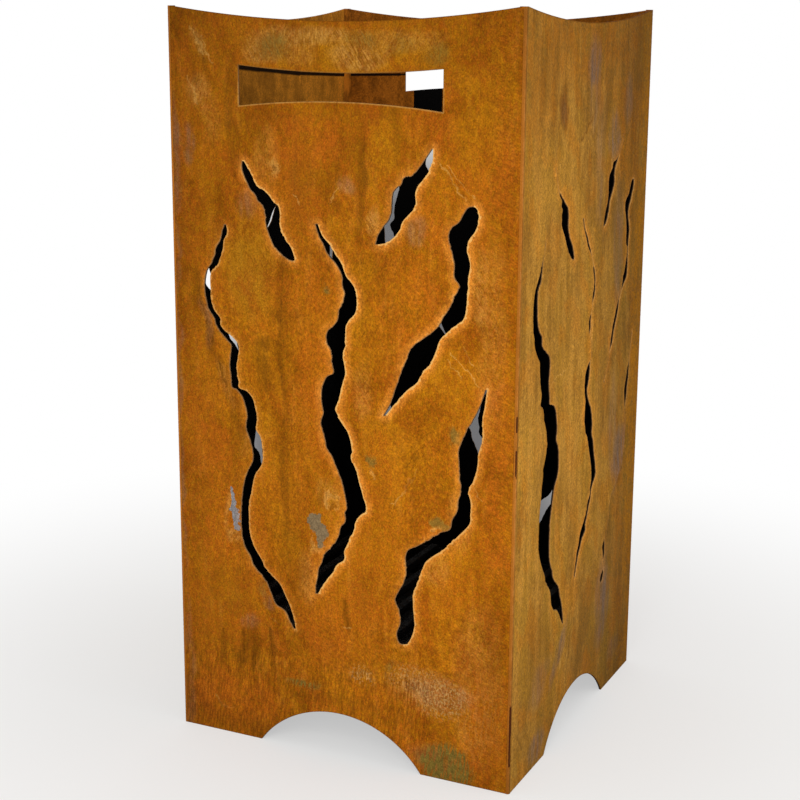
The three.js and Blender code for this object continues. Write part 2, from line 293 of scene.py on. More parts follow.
def lumpy(points, height, seed):
    """The slit with the rounded lumps, sharp between, that a torch leaves, but for its narrow ends."""
    random = np.random.RandomState(seed)
    steps = np.linalg.norm(np.roll(points, -1, axis=0) - points, axis=1)
    around = steps.sum()
    place = np.concatenate([[0], np.cumsum(steps)[:-1]]) / around

    def waves(size, sharp):
        total = np.zeros(len(points))
        for stretch in (0.8, 1.0, 1.3):
            turns = max(1, round(around / size * stretch * (0.5 if sharp else 1)))
            wave = np.sin(math.tau * (turns * place + random.rand()))
            total += (np.abs(wave) - 0.64 if sharp else wave) / 3
        return total

    lumps = waves(11 * MM, True) + 0.6 * waves(6 * MM, True) + 0.25 * waves(3.4 * MM, False)
    presence = np.clip(0.55 + 0.9 * waves(60 * MM, False), 0.15, 1.2)
    left = left_edge_flags(points)
    gap = np.zeros(len(points))
    for flags in (left, ~left):
        gap[flags], _ = nearest(points[flags], points[~flags])
    normal = turned_left(unit(np.roll(points, -1, axis=0) - np.roll(points, 1, axis=0)))
    return points - normal * (lumps * presence * height * smooth(gap, 1 * MM, 7 * MM))[:, None]


def inset(points, distance):
    """The outline moved into the steel, which lies on its left."""
    after = turned_left(unit(np.roll(points, -1, axis=0) - points))
    before = np.roll(after, 1, axis=0)
    both = after + before
    stretch = np.minimum(2 / np.maximum(np.einsum("ij,ij->i", both, both), 0.5), 2)
    return points + both * stretch[:, None] * distance


# Slits by name: from where to where their middle may lie, across and up, as shares of the plate's half
# width and height
SLIT_PLACES = {
    "upper_left": ((-0.6, -0.3), (0.7, 0.8)),
    "upper_right": ((0.3, 0.6), (0.7, 0.85)),
    "left_long": ((-0.75, -0.45), (0.35, 0.55)),
    "centre_long": ((-0.2, 0.2), (0.35, 0.55)),
    "right_long": ((0.3, 0.75), (0.58, 0.69)),
    "lower_right": ((0.35, 0.8), (0.25, 0.45)),
}

# How much the cutting heat has lightened the rust beside a slit
SLIT_HEAT = {
    "upper_left": 0.9, "upper_right": 1.0, "left_long": 0.3, "centre_long": 1.1, "right_long": 1.2,
    "lower_right": 0.7,
}

# How the lips of a slit are bent out of the front and back plates, and out of the side plates. Each pair
# is a share of the slit's height over its lower tip, and the bend there in millimetres.
LONG_LEFT_LIPS = {
    "left": ((0, 0), (0.1, -1.5), (0.23, -5.2), (0.37, -4), (0.43, -7.5), (0.5, -1.5), (0.55, -4.5),
             (0.62, -2), (0.69, -5), (0.76, -5.6), (0.8, -3.6), (0.94, -0.6), (1, 0)),
    "right": ((0, 0), (0.23, 2.2), (0.41, 3.3), (0.7, 1.6), (0.94, 0.4), (1, 0)),
}
UPPER_LIPS = {"left": ((0, 0), (0.5, -0.4), (1, 0)), "right": ((0, 0), (0.5, 0.4), (1, 0))}
LIP_BENDS = {
    "front": {
        "left_long": LONG_LEFT_LIPS,
        "centre_long": {
            "left": ((0, 0), (0.2, 0.6), (0.6, 0.4), (1, 0)),
            "right": ((0, 0), (0.3, -0.5), (0.6, 0.2), (1, 0)),
        },
        "right_long": {
            "left": ((0, 0), (0.27, 1), (0.6, 0.4), (1, 0)),
            "right": ((0, 0), (0.27, -1), (0.7, -0.8), (1, 0)),
        },
        "lower_right": {
            "left": ((0, 0), (0.33, 1.2), (0.7, 0.8), (1, 0)),
            "right": ((0, 0), (0.33, -0.8), (0.7, -0.5), (1, 0)),
        },
        "upper_left": UPPER_LIPS,
        "upper_right": UPPER_LIPS,
    },
    "right": {
        "left_long": {
            "left": ((0, 0), (0.07, -4), (0.13, -1.6), (0.19, -1.4), (0.24, -4.6), (0.37, -5.2), (0.43, -8),
                     (0.5, -1), (0.56, -5), (0.63, -2), (0.69, -5.2), (0.76, -6.8), (0.8, -4.8),
                     (0.88, -2.4), (0.91, -0.6), (0.94, 1.6), (1, 1)),
            "right": ((0, 0), (0.08, -0.4), (0.18, 1.7), (0.24, 3.4), (0.41, 4.1), (0.62, 3.9), (0.7, 2.9),
                      (0.77, 3.4), (0.84, 1.8), (0.89, 1.2), (0.91, 0), (0.94, -1.6), (1, -1)),
        },
        "centre_long": {
            "left": ((0, 0), (0.1, 0.4), (0.13, -0.3), (0.24, 1.3), (0.29, 2.1), (0.34, 1.4), (0.39, 1.6),
                     (0.44, 1), (0.48, 3.2), (0.52, 1.6), (0.58, 2.2), (0.61, 4), (0.7, 3.5), (0.79, 2),
                     (1, 0)),
            "right": ((0, 0), (0.06, -2.5), (0.12, -2), (0.24, -1), (0.29, 0), (0.34, -0.6), (0.44, -1),
                      (0.58, -0.8), (0.61, -3), (0.79, -2), (1, 0)),
        },
        "right_long": {
            "left": ((0, 0), (0.1, 2.4), (0.27, 2.1), (0.33, 3.3), (0.38, 2.3), (0.43, 1.9), (0.5, 0.8),
                     (0.6, 0.8), (0.68, -0.2), (0.82, 0), (0.89, -0.8), (0.94, 0), (1, 0)),
            "right": ((0, 0), (0.1, -1.6), (0.18, -1.2), (0.27, -2), (0.33, -1.2), (0.43, -1.7), (0.5, -1.4),
                      (0.62, -2.7), (0.72, -2.4), (0.84, -4), (0.91, -5.2), (1, 0)),
        },
        "lower_right": {
            "left": ((0, 0), (0.03, 0.5), (0.07, 3), (0.11, 1.5), (0.16, 1.5), (0.22, 4), (0.4, 6),
                     (0.62, 6), (0.73, 3), (0.77, 2.3), (0.83, 3), (0.9, 3.5), (1, 0)),
            "right": ((0, 0), (0.03, -0.5), (0.07, -3), (0.11, -1), (0.16, -1), (0.22, -4), (0.4, -6),
                      (0.62, -6), (0.73, -3), (0.77, -2.3), (0.83, -3), (0.9, -3), (1, 0)),
        },
        "upper_left": {
            "left": ((0, 0.5), (0.13, 1.8), (0.27, 1), (0.4, -1.8), (0.5, -1.3), (0.57, 0.6), (0.66, 2.4),
                     (0.9, 2.4), (1, 1)),
            "right": ((0, 0), (0.5, -0.3), (0.6, -0.6), (0.68, -2.6), (0.9, -2), (1, -1)),
        },
        "upper_right": {
            "left": ((0, 0), (0.5, -1.2), (0.7, -0.6), (0.8, 1.8), (0.94, 2.2), (1, 1)),
            "right": ((0, -1), (0.1, -2.2), (0.36, -3.2), (0.5, -2.5), (0.65, -3.1), (0.8, -2.6),
                      (0.94, -2.4), (1, -1)),
        },
    },
}

# How fast the bend of a lip fades away from its slit
LIP_REACH = 24 * MM

# The bulge of a plate: its middle and width across, and its height over the levels, all as shares
BULGE_MIDDLE = 0.05
BULGE_WIDTH = 0.45
BULGE_LEVELS = (0.05, 0.2, 0.3, 0.44, 0.58, 0.69, 0.84)
BULGE_HEIGHTS = (0, 0.8, 1, 1, 0.67, 0.3, 0)
DENT_SIZE = 70 * MM
DENT_DEPTH = 0.35 * MM

# Where the bulge, the lips and the dents end beside the welds, at the foot and at the rim, as shares
HOLD_SIDES = (0.55, 1.0)
HOLD_FOOT = (0.02, 0.12)
HOLD_RIM = (0.84, 0.97)


def slit_name(loop):
    middle = (loop.min(axis=0) + loop.max(axis=0)) / 2
    for name, (across, up) in SLIT_PLACES.items():
        if across[0] < middle[0] / PLATE_HALF < across[1] and up[0] < middle[1] / HEIGHT < up[1]:
            return name
    raise RuntimeError(f"no slit is known at {middle}")


def left_edge_flags(loop):
    """True for the points of a slit from its lowest up to its highest, which are its left edge."""
    lowest = int(np.argmin(loop[:, 1]))
    highest = int(np.argmax(loop[:, 1]))
    order = (np.arange(len(loop)) - lowest) % len(loop)
    return order <= (highest - lowest) % len(loop)


def nearest(points, targets):
    """For each point, the distance to the nearest target and its number."""
    tree = kdtree.KDTree(len(targets))
    for i, (x, y) in enumerate(targets):
        tree.insert((x, y, 0), i)
    tree.balance()
    found = [tree.find((x, y, 0)) for x, y in points]
    return np.array([f[2] for f in found]), np.array([f[1] for f in found])


def smooth(value, low, high):
    t = np.clip((value - low) / (high - low), 0, 1)
    return t * t * (3 - 2 * t)


def plate_lift(points, slits, bulge, lips, bent, seed):
    """How far each point of a plate lies out of its flat plane, and what the shading needs there."""
    across = points[:, 0] / PLATE_HALF
    level = points[:, 1] / HEIGHT
    hold = (1 - smooth(np.abs(across), *HOLD_SIDES)) * smooth(level, *HOLD_FOOT)
    hold = hold * (1 - smooth(level, *HOLD_RIM))
    swell = np.exp(-((across - BULGE_MIDDLE) / BULGE_WIDTH) ** 2)
    lift = bulge * swell * np.interp(level, BULGE_LEVELS, BULGE_HEIGHTS)
    slit_distance = np.full(len(points), 1.0)
    slit_side, heat = np.zeros(len(points)), np.zeros(len(points))
    for slit in slits:
        low, high = slit[:, 1].min(), slit[:, 1].max()
        distance, index = nearest(points, slit)
        left = left_edge_flags(slit)[index]
        rise = (points[:, 1] - low) / (high - low)
        name = slit_name(slit)
        left_bend, right_bend = (np.interp(rise, *zip(*bent[name][edge])) for edge in ("left", "right"))
        bend = np.where(left, left_bend, right_bend)
        lift += lips * bend * MM * np.exp(-distance / LIP_REACH)
        nearer = distance < slit_distance
        slit_distance[nearer] = distance[nearer]
        slit_side[nearer] = np.where(left, -1, 1)[nearer]
        heat[nearer] = SLIT_HEAT[name]
    dents = [noise.noise(Vector((x / DENT_SIZE, z / DENT_SIZE, seed))) for x, z in points]
    lift += DENT_DEPTH * np.array(dents)
    return lift * hold, slit_distance, slit_side, heat


# Soft marks on the plates by kind, in millimetres: middle across and up, half width, half height,
# strength and, where the mark leans, how far to the right per millimetre up
MARKS = {
    "front": {
        "gold": (
            (15, 758, 108, 20, 0.9), (51, 668, 18, 24, 0.9), (150, 690, 22, 50, 0.6),
            (-103, 530, 28, 52, 0.9), (-84, 410, 16, 60, 0.6), (30, 500, 18, 50, 0.55),
            (120, 440, 36, 24, 0.7), (64, 350, 34, 50, 0.6), (-70, 290, 22, 60, 0.4),
            (122, 150, 20, 50, 0.45, 0.2), (-95, 168, 14, 25, 0.35), (-52, 236, 15, 20, 0.35),
        ),
        "pale": (
            (-33, 772, 60, 9, 1.0), (24, 752, 30, 12, 0.9), (-86, 760, 24, 13, 0.9), (60, 766, 50, 10, 0.5),
            (-45, 755, 16, 12, 0.45), (-163, 763, 6, 13, 0.7, -0.6), (-160, 714, 14, 16, 0.7),
            (-150, 690, 12, 26, 0.3), (10, 623, 8, 8, 0.4), (41, 588, 7, 15, 0.8), (86, 582, 12, 12, 0.3),
            (-139, 405, 5, 26, 0.55, -0.3), (-112, 345, 6, 22, 0.3), (28, 415, 10, 26, 0.35),
            (-128, 236, 10, 8, 0.9), (-138, 262, 3, 26, 0.6), (-24, 236, 8, 6, 0.8),
            (-12, 300, 12, 12, 0.4), (-36, 200, 10, 30, 0.45), (60, 110, 4, 6, 0.5),
            # (158, 525) is a painted highlight on the lit lip right of the long right slit
            (108, 98, 44, 22, 0.45), (34, 104, 8, 6, 0.7), (172, 480, 14, 90, 0.3), (158, 525, 8, 40, 0.5),
            (140, 291, 14, 30, 0.4), (112, 236, 14, 20, 0.4), (-84, 650, 14, 25, 0.3),
            (162, 110, 26, 80, 0.3),
        ),
        "olive": (
            (-73, 762, 19, 11, 0.75, 0.3), (27, 770, 15, 6, 0.6), (106, 753, 13, 10, 0.7),
            (70, 762, 14, 10, 0.35), (-103, 530, 26, 46, 0.2), (-94, 181, 7, 9, 0.6), (62, 122, 4, 6, 0.8),
            (126, 15, 25, 26, 2.2), (-44, 80, 20, 4, 1.0, -0.2),
        ),
        "dark": (
            (-152, 742, 5, 24, 0.6, -0.55), (-166, 735, 4, 22, 0.5, -0.4), (-188, 560, 6, 60, 0.35),
            (-125, 668, 8, 34, 0.65), (-142, 590, 8, 44, 0.3), (-92, 690, 20, 20, 0.4),
            (20, 700, 40, 14, 0.3), (2, 640, 10, 34, 0.5, 0.5), (-14, 618, 8, 18, 0.5, -0.5),
            (26, 640, 5, 64, 0.8), (66, 686, 5, 34, 0.6), (-62, 540, 6, 44, 0.7), (-125, 700, 6, 50, 0.5),
            (-66, 470, 5, 78, 0.9), (-65, 310, 6, 90, 0.75), (-66, 486, 16, 7, 0.9),
            # (-170, 506), (-147, 432) and (-126, 372) are painted shade of the bent lip left of the long
            # left slit
            (-81, 452, 14, 9, 0.8, 0.2), (-86, 420, 10, 24, 0.75, -0.2), (-170, 506, 6, 30, 0.95, -0.15),
            (-147, 432, 7, 36, 0.85, -0.38), (-126, 372, 8, 38, 0.7, -0.3), (-124, 300, 10, 70, 0.4),
            (-104, 200, 10, 44, 0.4, -0.6), (32, 496, 3, 40, 0.3), (42, 545, 18, 10, 0.35),
            (88, 352, 16, 5, 0.5, 0.9), (52, 300, 12, 34, 0.25), (-50, 240, 12, 60, 0.4),
            (-147, 100, 6, 24, 0.8, 0.1), (-118, 100, 5, 30, 0.9, 0.1), (-124, 80, 5, 16, 0.5),
            (-106, 106, 5, 30, 0.9), (-84, 110, 5, 26, 0.7), (-130, 150, 12, 10, 0.45),
            (-120, 186, 12, 18, 0.4), (-150, 180, 8, 24, 0.4), (9, 166, 5, 20, 0.75),
            (30, 190, 12, 30, 0.3), (-20, 66, 40, 7, 0.4, -0.3), (-130, 14, 70, 14, 0.55),
            (60, 60, 60, 12, 0.3, -0.3), (178, 130, 12, 90, 0.3), (-43, 617, 14, 40, 0.4),
            (-84, 758, 14, 14, 0.3), (100, 740, 14, 10, 0.3), (25, 100, 20, 20, 0.3),
            (-125, 168, 14, 20, 0.3),
        ),
        "plum": (
            (-178, 660, 6, 18, 0.6), (-193, 640, 5, 60, 0.6), (-194, 400, 3, 200, 0.4),
            (-190, 60, 6, 90, 0.35), (10, 623, 8, 8, 0.35), (86, 582, 14, 13, 0.45),
            (-104, 600, 14, 16, 0.35), (-160, 470, 5, 22, 0.5, -0.2), (-112, 136, 10, 9, 0.5),
            (-86, 165, 7, 12, 0.5, -0.4), (118, 20, 26, 16, 0.3), (118, 96, 34, 16, 0.4),
        ),
        "red": (
            (-37, 665, 36, 26, 0.8), (-60, 600, 26, 40, 0.4), (106, 690, 26, 30, 0.5),
            (170, 620, 18, 70, 0.4), (-25, 420, 22, 60, 0.55), (-20, 510, 18, 30, 0.45),
            (92, 500, 22, 50, 0.45), (-160, 330, 24, 80, 0.35), (-150, 40, 60, 34, 0.75),
            (180, 360, 14, 110, 0.75), (170, 60, 20, 60, 0.4), (-20, 140, 30, 40, 0.35),
        ),
        "worn": (
            (120, 92, 30, 20, 0.8), (92, 108, 32, 16, 0.45), (30, 102, 14, 12, 0.6),
        ),
    },
    "right": {
        "plum": (
            (-2, 744, 20, 30, 1.1), (4, 708, 16, 30, 0.5), (-90, 700, 7, 14, 0.5), (72, 666, 18, 26, 0.95),
            (120, 702, 14, 28, 0.8), (100, 540, 18, 66, 0.6), (118, 285, 30, 36, 0.95),
            (96, 330, 16, 60, 0.4), (82, 122, 24, 56, 0.9), (-62, 108, 12, 34, 0.75, 0.5),
            (-120, 92, 24, 22, 0.45, 0.5), (-122, 22, 22, 15, 0.9, 0.4), (140, 40, 20, 14, 0.5, 0.4),
            (30, 640, 14, 60, 0.4),
        ),
        "dark": (
            (-90, 702, 11, 24, 0.95), (44, 700, 10, 60, 0.35), (-60, 104, 5, 28, 0.5, 0.5),
            (150, 660, 20, 130, 0.5), (-150, 740, 30, 40, 0.5), (20, 760, 60, 14, 0.3),
            # (-180, 690) and (-10, 765) are painted shade, darkening the top by the front corner and the top
            # middle
            (-130, 130, 40, 40, 0.3), (-40, 240, 10, 80, 0.25), (-180, 690, 30, 110, 0.35),
            (-10, 765, 60, 40, 0.3),
        ),
        "ochre": (
            (-140, 480, 34, 220, 0.7), (-50, 360, 26, 140, 0.8), (40, 420, 20, 120, 0.5),
        ),
        "red": (
            (186, 400, 26, 520, 1.0), (-10, 775, 190, 50, 0.8), (120, 690, 60, 80, 0.7),
            (-150, 720, 34, 60, 0.6), (150, 160, 30, 180, 0.6), (-60, 50, 40, 26, 0.5, 0.4),
            (40, 60, 30, 26, 0.4, 0.4),
        ),
        "gold": (
            (188, 400, 26, 520, 0.8),
        ),
    },
    "back": {
        "gold": (
            (-10, 758, 110, 20, 0.7), (-90, 520, 34, 60, 0.8), (110, 650, 30, 60, 0.6),
        ),
        "olive": (
            (60, 762, 40, 11, 0.6), (-100, 30, 44, 20, 0.6),
        ),
        "pale": (
            (-50, 770, 40, 8, 0.6), (60, 96, 50, 22, 0.5),
        ),
        "red": (
            (30, 660, 40, 30, 0.7), (0, 150, 100, 60, 0.4), (176, 330, 16, 140, 0.6),
        ),
        "dark": (
            (62, 470, 6, 90, 0.8), (66, 300, 7, 90, 0.6), (-140, 440, 9, 60, 0.6, -0.3),
            (-120, 100, 6, 34, 0.8), (-60, 96, 6, 40, 0.6), (110, 120, 7, 40, 0.7),
        ),
        "plum": (
            (-190, 400, 6, 300, 0.5), (86, 590, 16, 18, 0.5),
        ),
    },
    "left": {
        "plum": (
            (-100, 280, 26, 44, 0.9), (70, 116, 26, 50, 0.8), (10, 720, 14, 36, 0.6),
        ),
        "dark": (
            (-176, 500, 18, 260, 0.6), (40, 690, 12, 40, 0.5),
        ),
        "ochre": (
            (120, 460, 34, 220, 0.7), (20, 380, 26, 140, 0.7),
        ),
        "red": (
            (150, 90, 30, 60, 0.6), (-60, 50, 50, 26, 0.5, 0.3),
        ),
    },
}
MARK_KINDS = ("gold", "ochre", "olive", "dark", "pale", "plum", "red", "worn")

# Where a mark begins to fade and ends, as squares of its half width and height
MARK_FADE = (0.15, 1.9)

# Scratches, runs and small spots by kind, in millimetres: from across and up, to across and up, half width
LINES = {
    "front": {
        "pale": (
            (-171, 777, -156, 752, 1.4), (-160, 770, -148, 744, 1.0), (-176, 730, -166, 700, 1.0),
            (113, 652, 141, 615, 1.2), (121, 650, 150, 618, 0.7), (-53, 612, -44, 601, 1.0),
            (-10, 607, 0, 622, 1.0), (-76, 641, -72, 636, 5.0), (128, 463, 160, 433, 0.9),
            (122, 456, 140, 438, 0.7), (140, 470, 152, 452, 0.7), (68, 300, 92, 340, 0.8),
            (62, 296, 80, 316, 0.6), (98, 268, 110, 252, 0.8), (150, 333, 164, 312, 0.8),
            (39, 332, 41, 322, 1.4), (108, 276, 118, 278, 1.4), (-14, 298, 0, 296, 3.4),
            (1, 294, -1, 284, 2.6), (-14, 294, -12, 284, 2.6), (-34, 250, -30, 238, 1.4),
            (-30, 236, -22, 232, 1.8), (6, 154, 14, 152, 1.0), (-158, 42, -150, 33, 1.6),
            (-149, 31, -134, 30, 1.1), (-84, 150, -74, 140, 0.8),
        ),
        "dark": (
            (139, 624, 141, 621, 1.6), (-75, 639, -73, 637, 2.2), (75, 337, 99, 366, 1.1),
            (-22, 300, -24, 286, 3.4), (-6, 290, -6, 284, 2.6), (-106, 132, -107, 82, 2.0),
            (-85, 134, -84, 92, 1.8), (9, 182, 10, 156, 2.2), (-118, 130, -118, 74, 1.6),
            # (-168, 508) to (-160, 470) and on to (-136, 402) are painted shade of the bent lip left of the
            # long left slit
            (-147, 122, -145, 82, 1.8), (-133, 476, -128, 466, 1.0), (-168, 508, -160, 470, 1.3),
            (-160, 470, -136, 402, 1.2),
        ),
        "olive": (
            (-13, 517, -13, 515, 4.6), (37, 344, 39, 340, 4.2), (131, 382, 134, 375, 6.0),
            (111, 284, 124, 281, 5.5),
        ),
        "ground": (
            (-132, 288, -129, 262, 1.8), (-130, 264, -126, 244, 3.4),
        ),
        "bare": (
            (-28, 268, -20, 254, 6.5), (-33, 266, -24, 272, 4.0), (-18, 262, -22, 240, 4.2),
        ),
    },
    "right": {
        "dark": (
            (-96, 712, -98, 694, 1.4), (-82, 712, -80, 694, 1.4), (-40, 664, 8, 694, 1.6),
            (112, 425, 116, 395, 1.2),
        ),
        "pale": (
            (-96, 645, -92, 628, 1.2), (-142, 545, -136, 520, 1.0), (12, 470, 14, 420, 1.2),
            (-48, 138, -58, 90, 1.6), (-30, 150, -40, 60, 1.2), (64, 640, 70, 620, 1.2),
            (-120, 420, -70, 430, 0.7),
        ),
    },
    "back": {
        "pale": (
            (-120, 640, -60, 700, 0.9), (90, 300, 130, 340, 0.9), (100, 690, 124, 650, 0.8),
        ),
        "bare": (
            (-60, 300, -54, 286, 5.0), (30, 240, 36, 226, 6.0),
        ),
        "olive": (
            (120, 380, 123, 372, 6.0),
        ),
        "dark": (
            (-120, 130, -121, 70, 2.0), (110, 150, 109, 90, 2.0),
        ),
    },
    "left": {
        "pale": (
            (-20, 560, 40, 640, 0.9), (-150, 200, -90, 230, 0.8), (60, 130, 50, 60, 1.4),
        ),
        "dark": (
            (20, 700, 60, 740, 1.4),
        ),
    },
}

# Patches of soot inside the barrel, in millimetres: low across, high across, low, high, and how soft
# their edges are
SOOT_PATCHES = {"back": ((64, 103, 676, 705),)}
SOOT_SOFT = 0.4

# Painted shadow inside the barrel, the shadow that the front plate's top band casts on the inner walls just
# under the handle slot's upper edge, as lines in millimetres: from across and up, to across and up, half
# width
PAINTED_SHADOW_LINES = {
    "left": ((90, 737, 18, 731, 3.0), (18, 731, -76, 723.5, 2.4), (-76, 723.5, -197, 718.5, 1.8)),
    "back": ((197, 718.5, 122, 720.5, 1.4), (122, 720.5, 80, 722, 0.9)),
}


# Painted light and shade: how much lighter or darker the rust is painted, by level and by place across, in
# millimetres, on the front and back plates and on the side plates
PAINTED_LIGHT_CURVES = {
    "front": (
        ((0, 0.82), (30, 0.85), (100, 0.92), (170, 1.02), (235, 1.07), (300, 1.06), (430, 1.05), (495, 1.02),
         (557, 0.97), (618, 0.95), (678, 0.9), (740, 0.79), (800, 0.7)),
        ((-200, 0.74), (-175, 0.8), (-132, 0.92), (-90, 0.97), (-50, 0.95), (0, 1.05), (40, 1.04),
         (90, 1.09), (130, 1.1), (160, 1.06), (190, 0.98)),
    ),
    "right": (
        ((0, 0.85), (60, 0.93), (100, 1.0), (170, 1.14), (235, 1.22), (366, 1.28), (495, 1.16), (618, 1.23),
         (690, 1.14), (765, 0.94), (800, 0.86)),
        ((-200, 1.18), (-180, 1.15), (-120, 1.0), (-49, 1.03), (30, 0.88), (118, 0.66), (190, 0.54)),
    ),
}


# Painted light and shade at each point of a plate
def painted_light(points, side):
    by_level, by_place = PAINTED_LIGHT_CURVES[LIKE[side]]
    return np.interp(points[:, 1] / MM, *zip(*by_level)) * np.interp(points[:, 0] / MM, *zip(*by_place))


# How marks are moved about: the size and the reach of the waves, in millimetres, and the two layers of
# the noise that shift them across and up
MARK_WAVES = ((36, 7), (12, 3))
WAVE_LAYERS = (0.3, 31.4)


def uneven(points, seed):
    """The places in millimetres, moved about a little, which gives what is drawn there ragged outlines."""
    moved = points / MM
    for size, reach in MARK_WAVES:
        spots = [[Vector((x / size, z / size, seed + layer)) for layer in WAVE_LAYERS] for x, z in moved]
        moved = moved + reach * np.array([[noise.noise(spot) for spot in pair] for pair in spots])
    return moved


def mark_strength(points, side, kind):
    """How strongly the marks of one kind show at each point of a plate."""
    strength = np.zeros(len(points))
    across, up = points[:, 0], points[:, 1]
    for mark in MARKS[side].get(kind, ()):
        middle_across, middle_up, half_width, half_height, full, lean = (*mark, 0)[:6]
        rise = up - middle_up
        reach = ((across - middle_across - lean * rise) / half_width) ** 2 + (rise / half_height) ** 2
        strength = np.maximum(strength, full * (1 - smooth(reach, *MARK_FADE)))
    return strength


# Plate skins

# A plate's points keep this share of the fine step clear of its outlines
EDGE_GAP = 0.6


def plate_points(loops, settings):
    """Points spread over a plate, closer together beside its slits, all clear of its outlines."""
    edge = np.concatenate(loops)
    spread = []
    for step, nearest_edge, farthest_edge in (
        (settings.mesh_step, settings.fine_reach, math.inf),
        (settings.fine_step, EDGE_GAP * settings.fine_step, settings.fine_reach),
    ):
        xs = np.arange(-PLATE_HALF + step / 2, PLATE_HALF, step)
        rows = np.arange(step / 2, HEIGHT, step * math.sqrt(3) / 2)
        grid = np.array([(x + (row % 2 - 0.5) * step / 2, z) for row, z in enumerate(rows) for x in xs])
        distance, _ = nearest(grid, edge)
        spread.append(grid[(distance > nearest_edge) & (distance <= farthest_edge)])
    return np.concatenate(spread)


def steel_triangles(loops, extra):
    """Triangles over the steel between the outlines: corners, indices, and each outline point's number."""
    points = np.concatenate(loops + [extra])
    edges = []
    start = 0
    for loop in loops:
        edges += [(start + i, start + (i + 1) % len(loop)) for i in range(len(loop))]
        start += len(loop)
    made = delaunay_2d_cdt([Vector(p) for p in points], edges, [], 0, 1e-9)
    corners = np.array([tuple(v) for v in made[0]])
    triangles = [list(t) for t in made[2]]
    new_place = {old: new for new, olds in enumerate(made[3]) for old in olds}
    places = [new_place[i] for i in range(start)]
    fence = {(places[a], places[b]) for a, b in edges}
    sides_of = [list(zip(t, t[1:] + t[:1])) for t in triangles]
    owner = {side: number for number, sides in enumerate(sides_of) for side in sides}
    waiting = [owner[edge] for edge in fence if edge in owner]
    kept = set(waiting)
    while waiting:
        for a, b in sides_of[waiting.pop()]:
            other = owner.get((b, a))
            if other is not None and other not in kept and (a, b) not in fence:
                kept.add(other)
                waiting.append(other)
    return corners, np.array(triangles)[sorted(kept)], places


def add_values(mesh, values):
    for name, numbers in values.items():
        attribute = mesh.attributes.new(name, "FLOAT", "POINT")
        attribute.data.foreach_set("value", np.asarray(numbers, np.float32))


def smoothed(mesh, sharp):
    """Smooth shading but for the edges that turn by more than an angle in degrees."""
    mesh.shade_smooth()
    mesh.set_sharp_from_angle(angle=math.radians(sharp))


def plate_mesh(side, settings):
    """One plate: outer face, broken edges, cut faces and inner face, bent as the heat has left it."""
    along, outward = SIDES[side]
    outlines = outer_loops(side)
    loops = []
    slits = []
    for number, outline in enumerate(outlines):
        is_slit = number > 0 and np.ptp(outline[:, 0]) < PLATE_HALF
        step = settings.cut_step if number > 0 else settings.mesh_step
        loop = curved(outline, step, SLIT_TURN if is_slit else FRAME_TURN)
        if is_slit:
            loop = lumpy(loop, settings.cut_lumps, number)
            slits.append(loop)
        loops.append(loop)
    broken = [inset(loop, settings.edge_break) for loop in loops]
    corners, triangles, places = steel_triangles(broken, plate_points(broken, settings))
    cut = np.concatenate(loops)
    seed = list(SIDES).index(side)
    bulge = getattr(settings, f"bulge_{side}")
    lips = getattr(settings, f"lips_{side}")

    flat = np.concatenate([corners, cut, cut, cut, corners])
    bent = LIP_BENDS[LIKE[side]]
    skin = np.concatenate([corners, cut])
    lift, slit_distance, slit_side, heat = plate_lift(skin, slits, bulge, lips, bent, seed)
    count, rim = len(corners), len(cut)
    face, cut_ring = np.arange(count), np.arange(count, count + rim)
    repeat = np.concatenate([face, cut_ring, cut_ring, cut_ring, face])
    sink = settings.edge_break
    layers = ((count, 0), (rim, sink), (rim, PLATE / 2), (rim, PLATE - sink), (count, PLATE))
    depth = np.concatenate([np.full(size, deep, float) for size, deep in layers])
    out = HALF_WIDTH + lift[repeat] - depth
    verts = flat[:, :1] * np.array(along) + flat[:, 1:] * np.array(UP) + out[:, None] * np.array(outward)

    faces = [tuple(t) for t in triangles.tolist()]
    inner = count + 3 * rim
    faces += [tuple(inner + i for i in reversed(t)) for t in faces]
    start = 0
    for loop in loops:
        for i in range(len(loop)):
            a, b = start + i, start + (i + 1) % len(loop)
            rings = [(places[a], places[b])]
            rings += [(count + k * rim + a, count + k * rim + b) for k in range(3)]
            rings += [(inner + places[a], inner + places[b])]
            for (a0, b0), (a1, b1) in zip(rings, rings[1:]):
                faces.append((b0, a0, a1, b1))
        start += len(loop)

    mesh = bpy.data.meshes.new(f"plate_{side}")
    mesh.from_pydata(verts.tolist(), [], faces)
    edge_distance, index = nearest(skin, np.concatenate(loops))
    is_slot = [number > 0 and np.ptp(loop[:, 0]) > PLATE_HALF for number, loop in enumerate(loops)]
    slot_edge = np.repeat(is_slot, [len(loop) for loop in loops])[index]
    values = {
        "slit_distance": slit_distance / MM, "edge_distance": edge_distance / MM, "slot_edge": slot_edge,
        "slit_side": slit_side, "slit_heat": heat, "painted_light": painted_light(skin, side),
    }
    drawn = uneven(skin, seed)
    for kind in MARK_KINDS:
        values[f"mark_{kind}"] = mark_strength(drawn, side, kind)
    add_values(mesh, {name: numbers[repeat] for name, numbers in values.items()})
    add_values(mesh, {"depth": depth / PLATE, "across": flat[:, 0] / MM})
    smoothed(mesh, PLATE_SHARP)
    mesh.validate()
    return mesh


# Materials

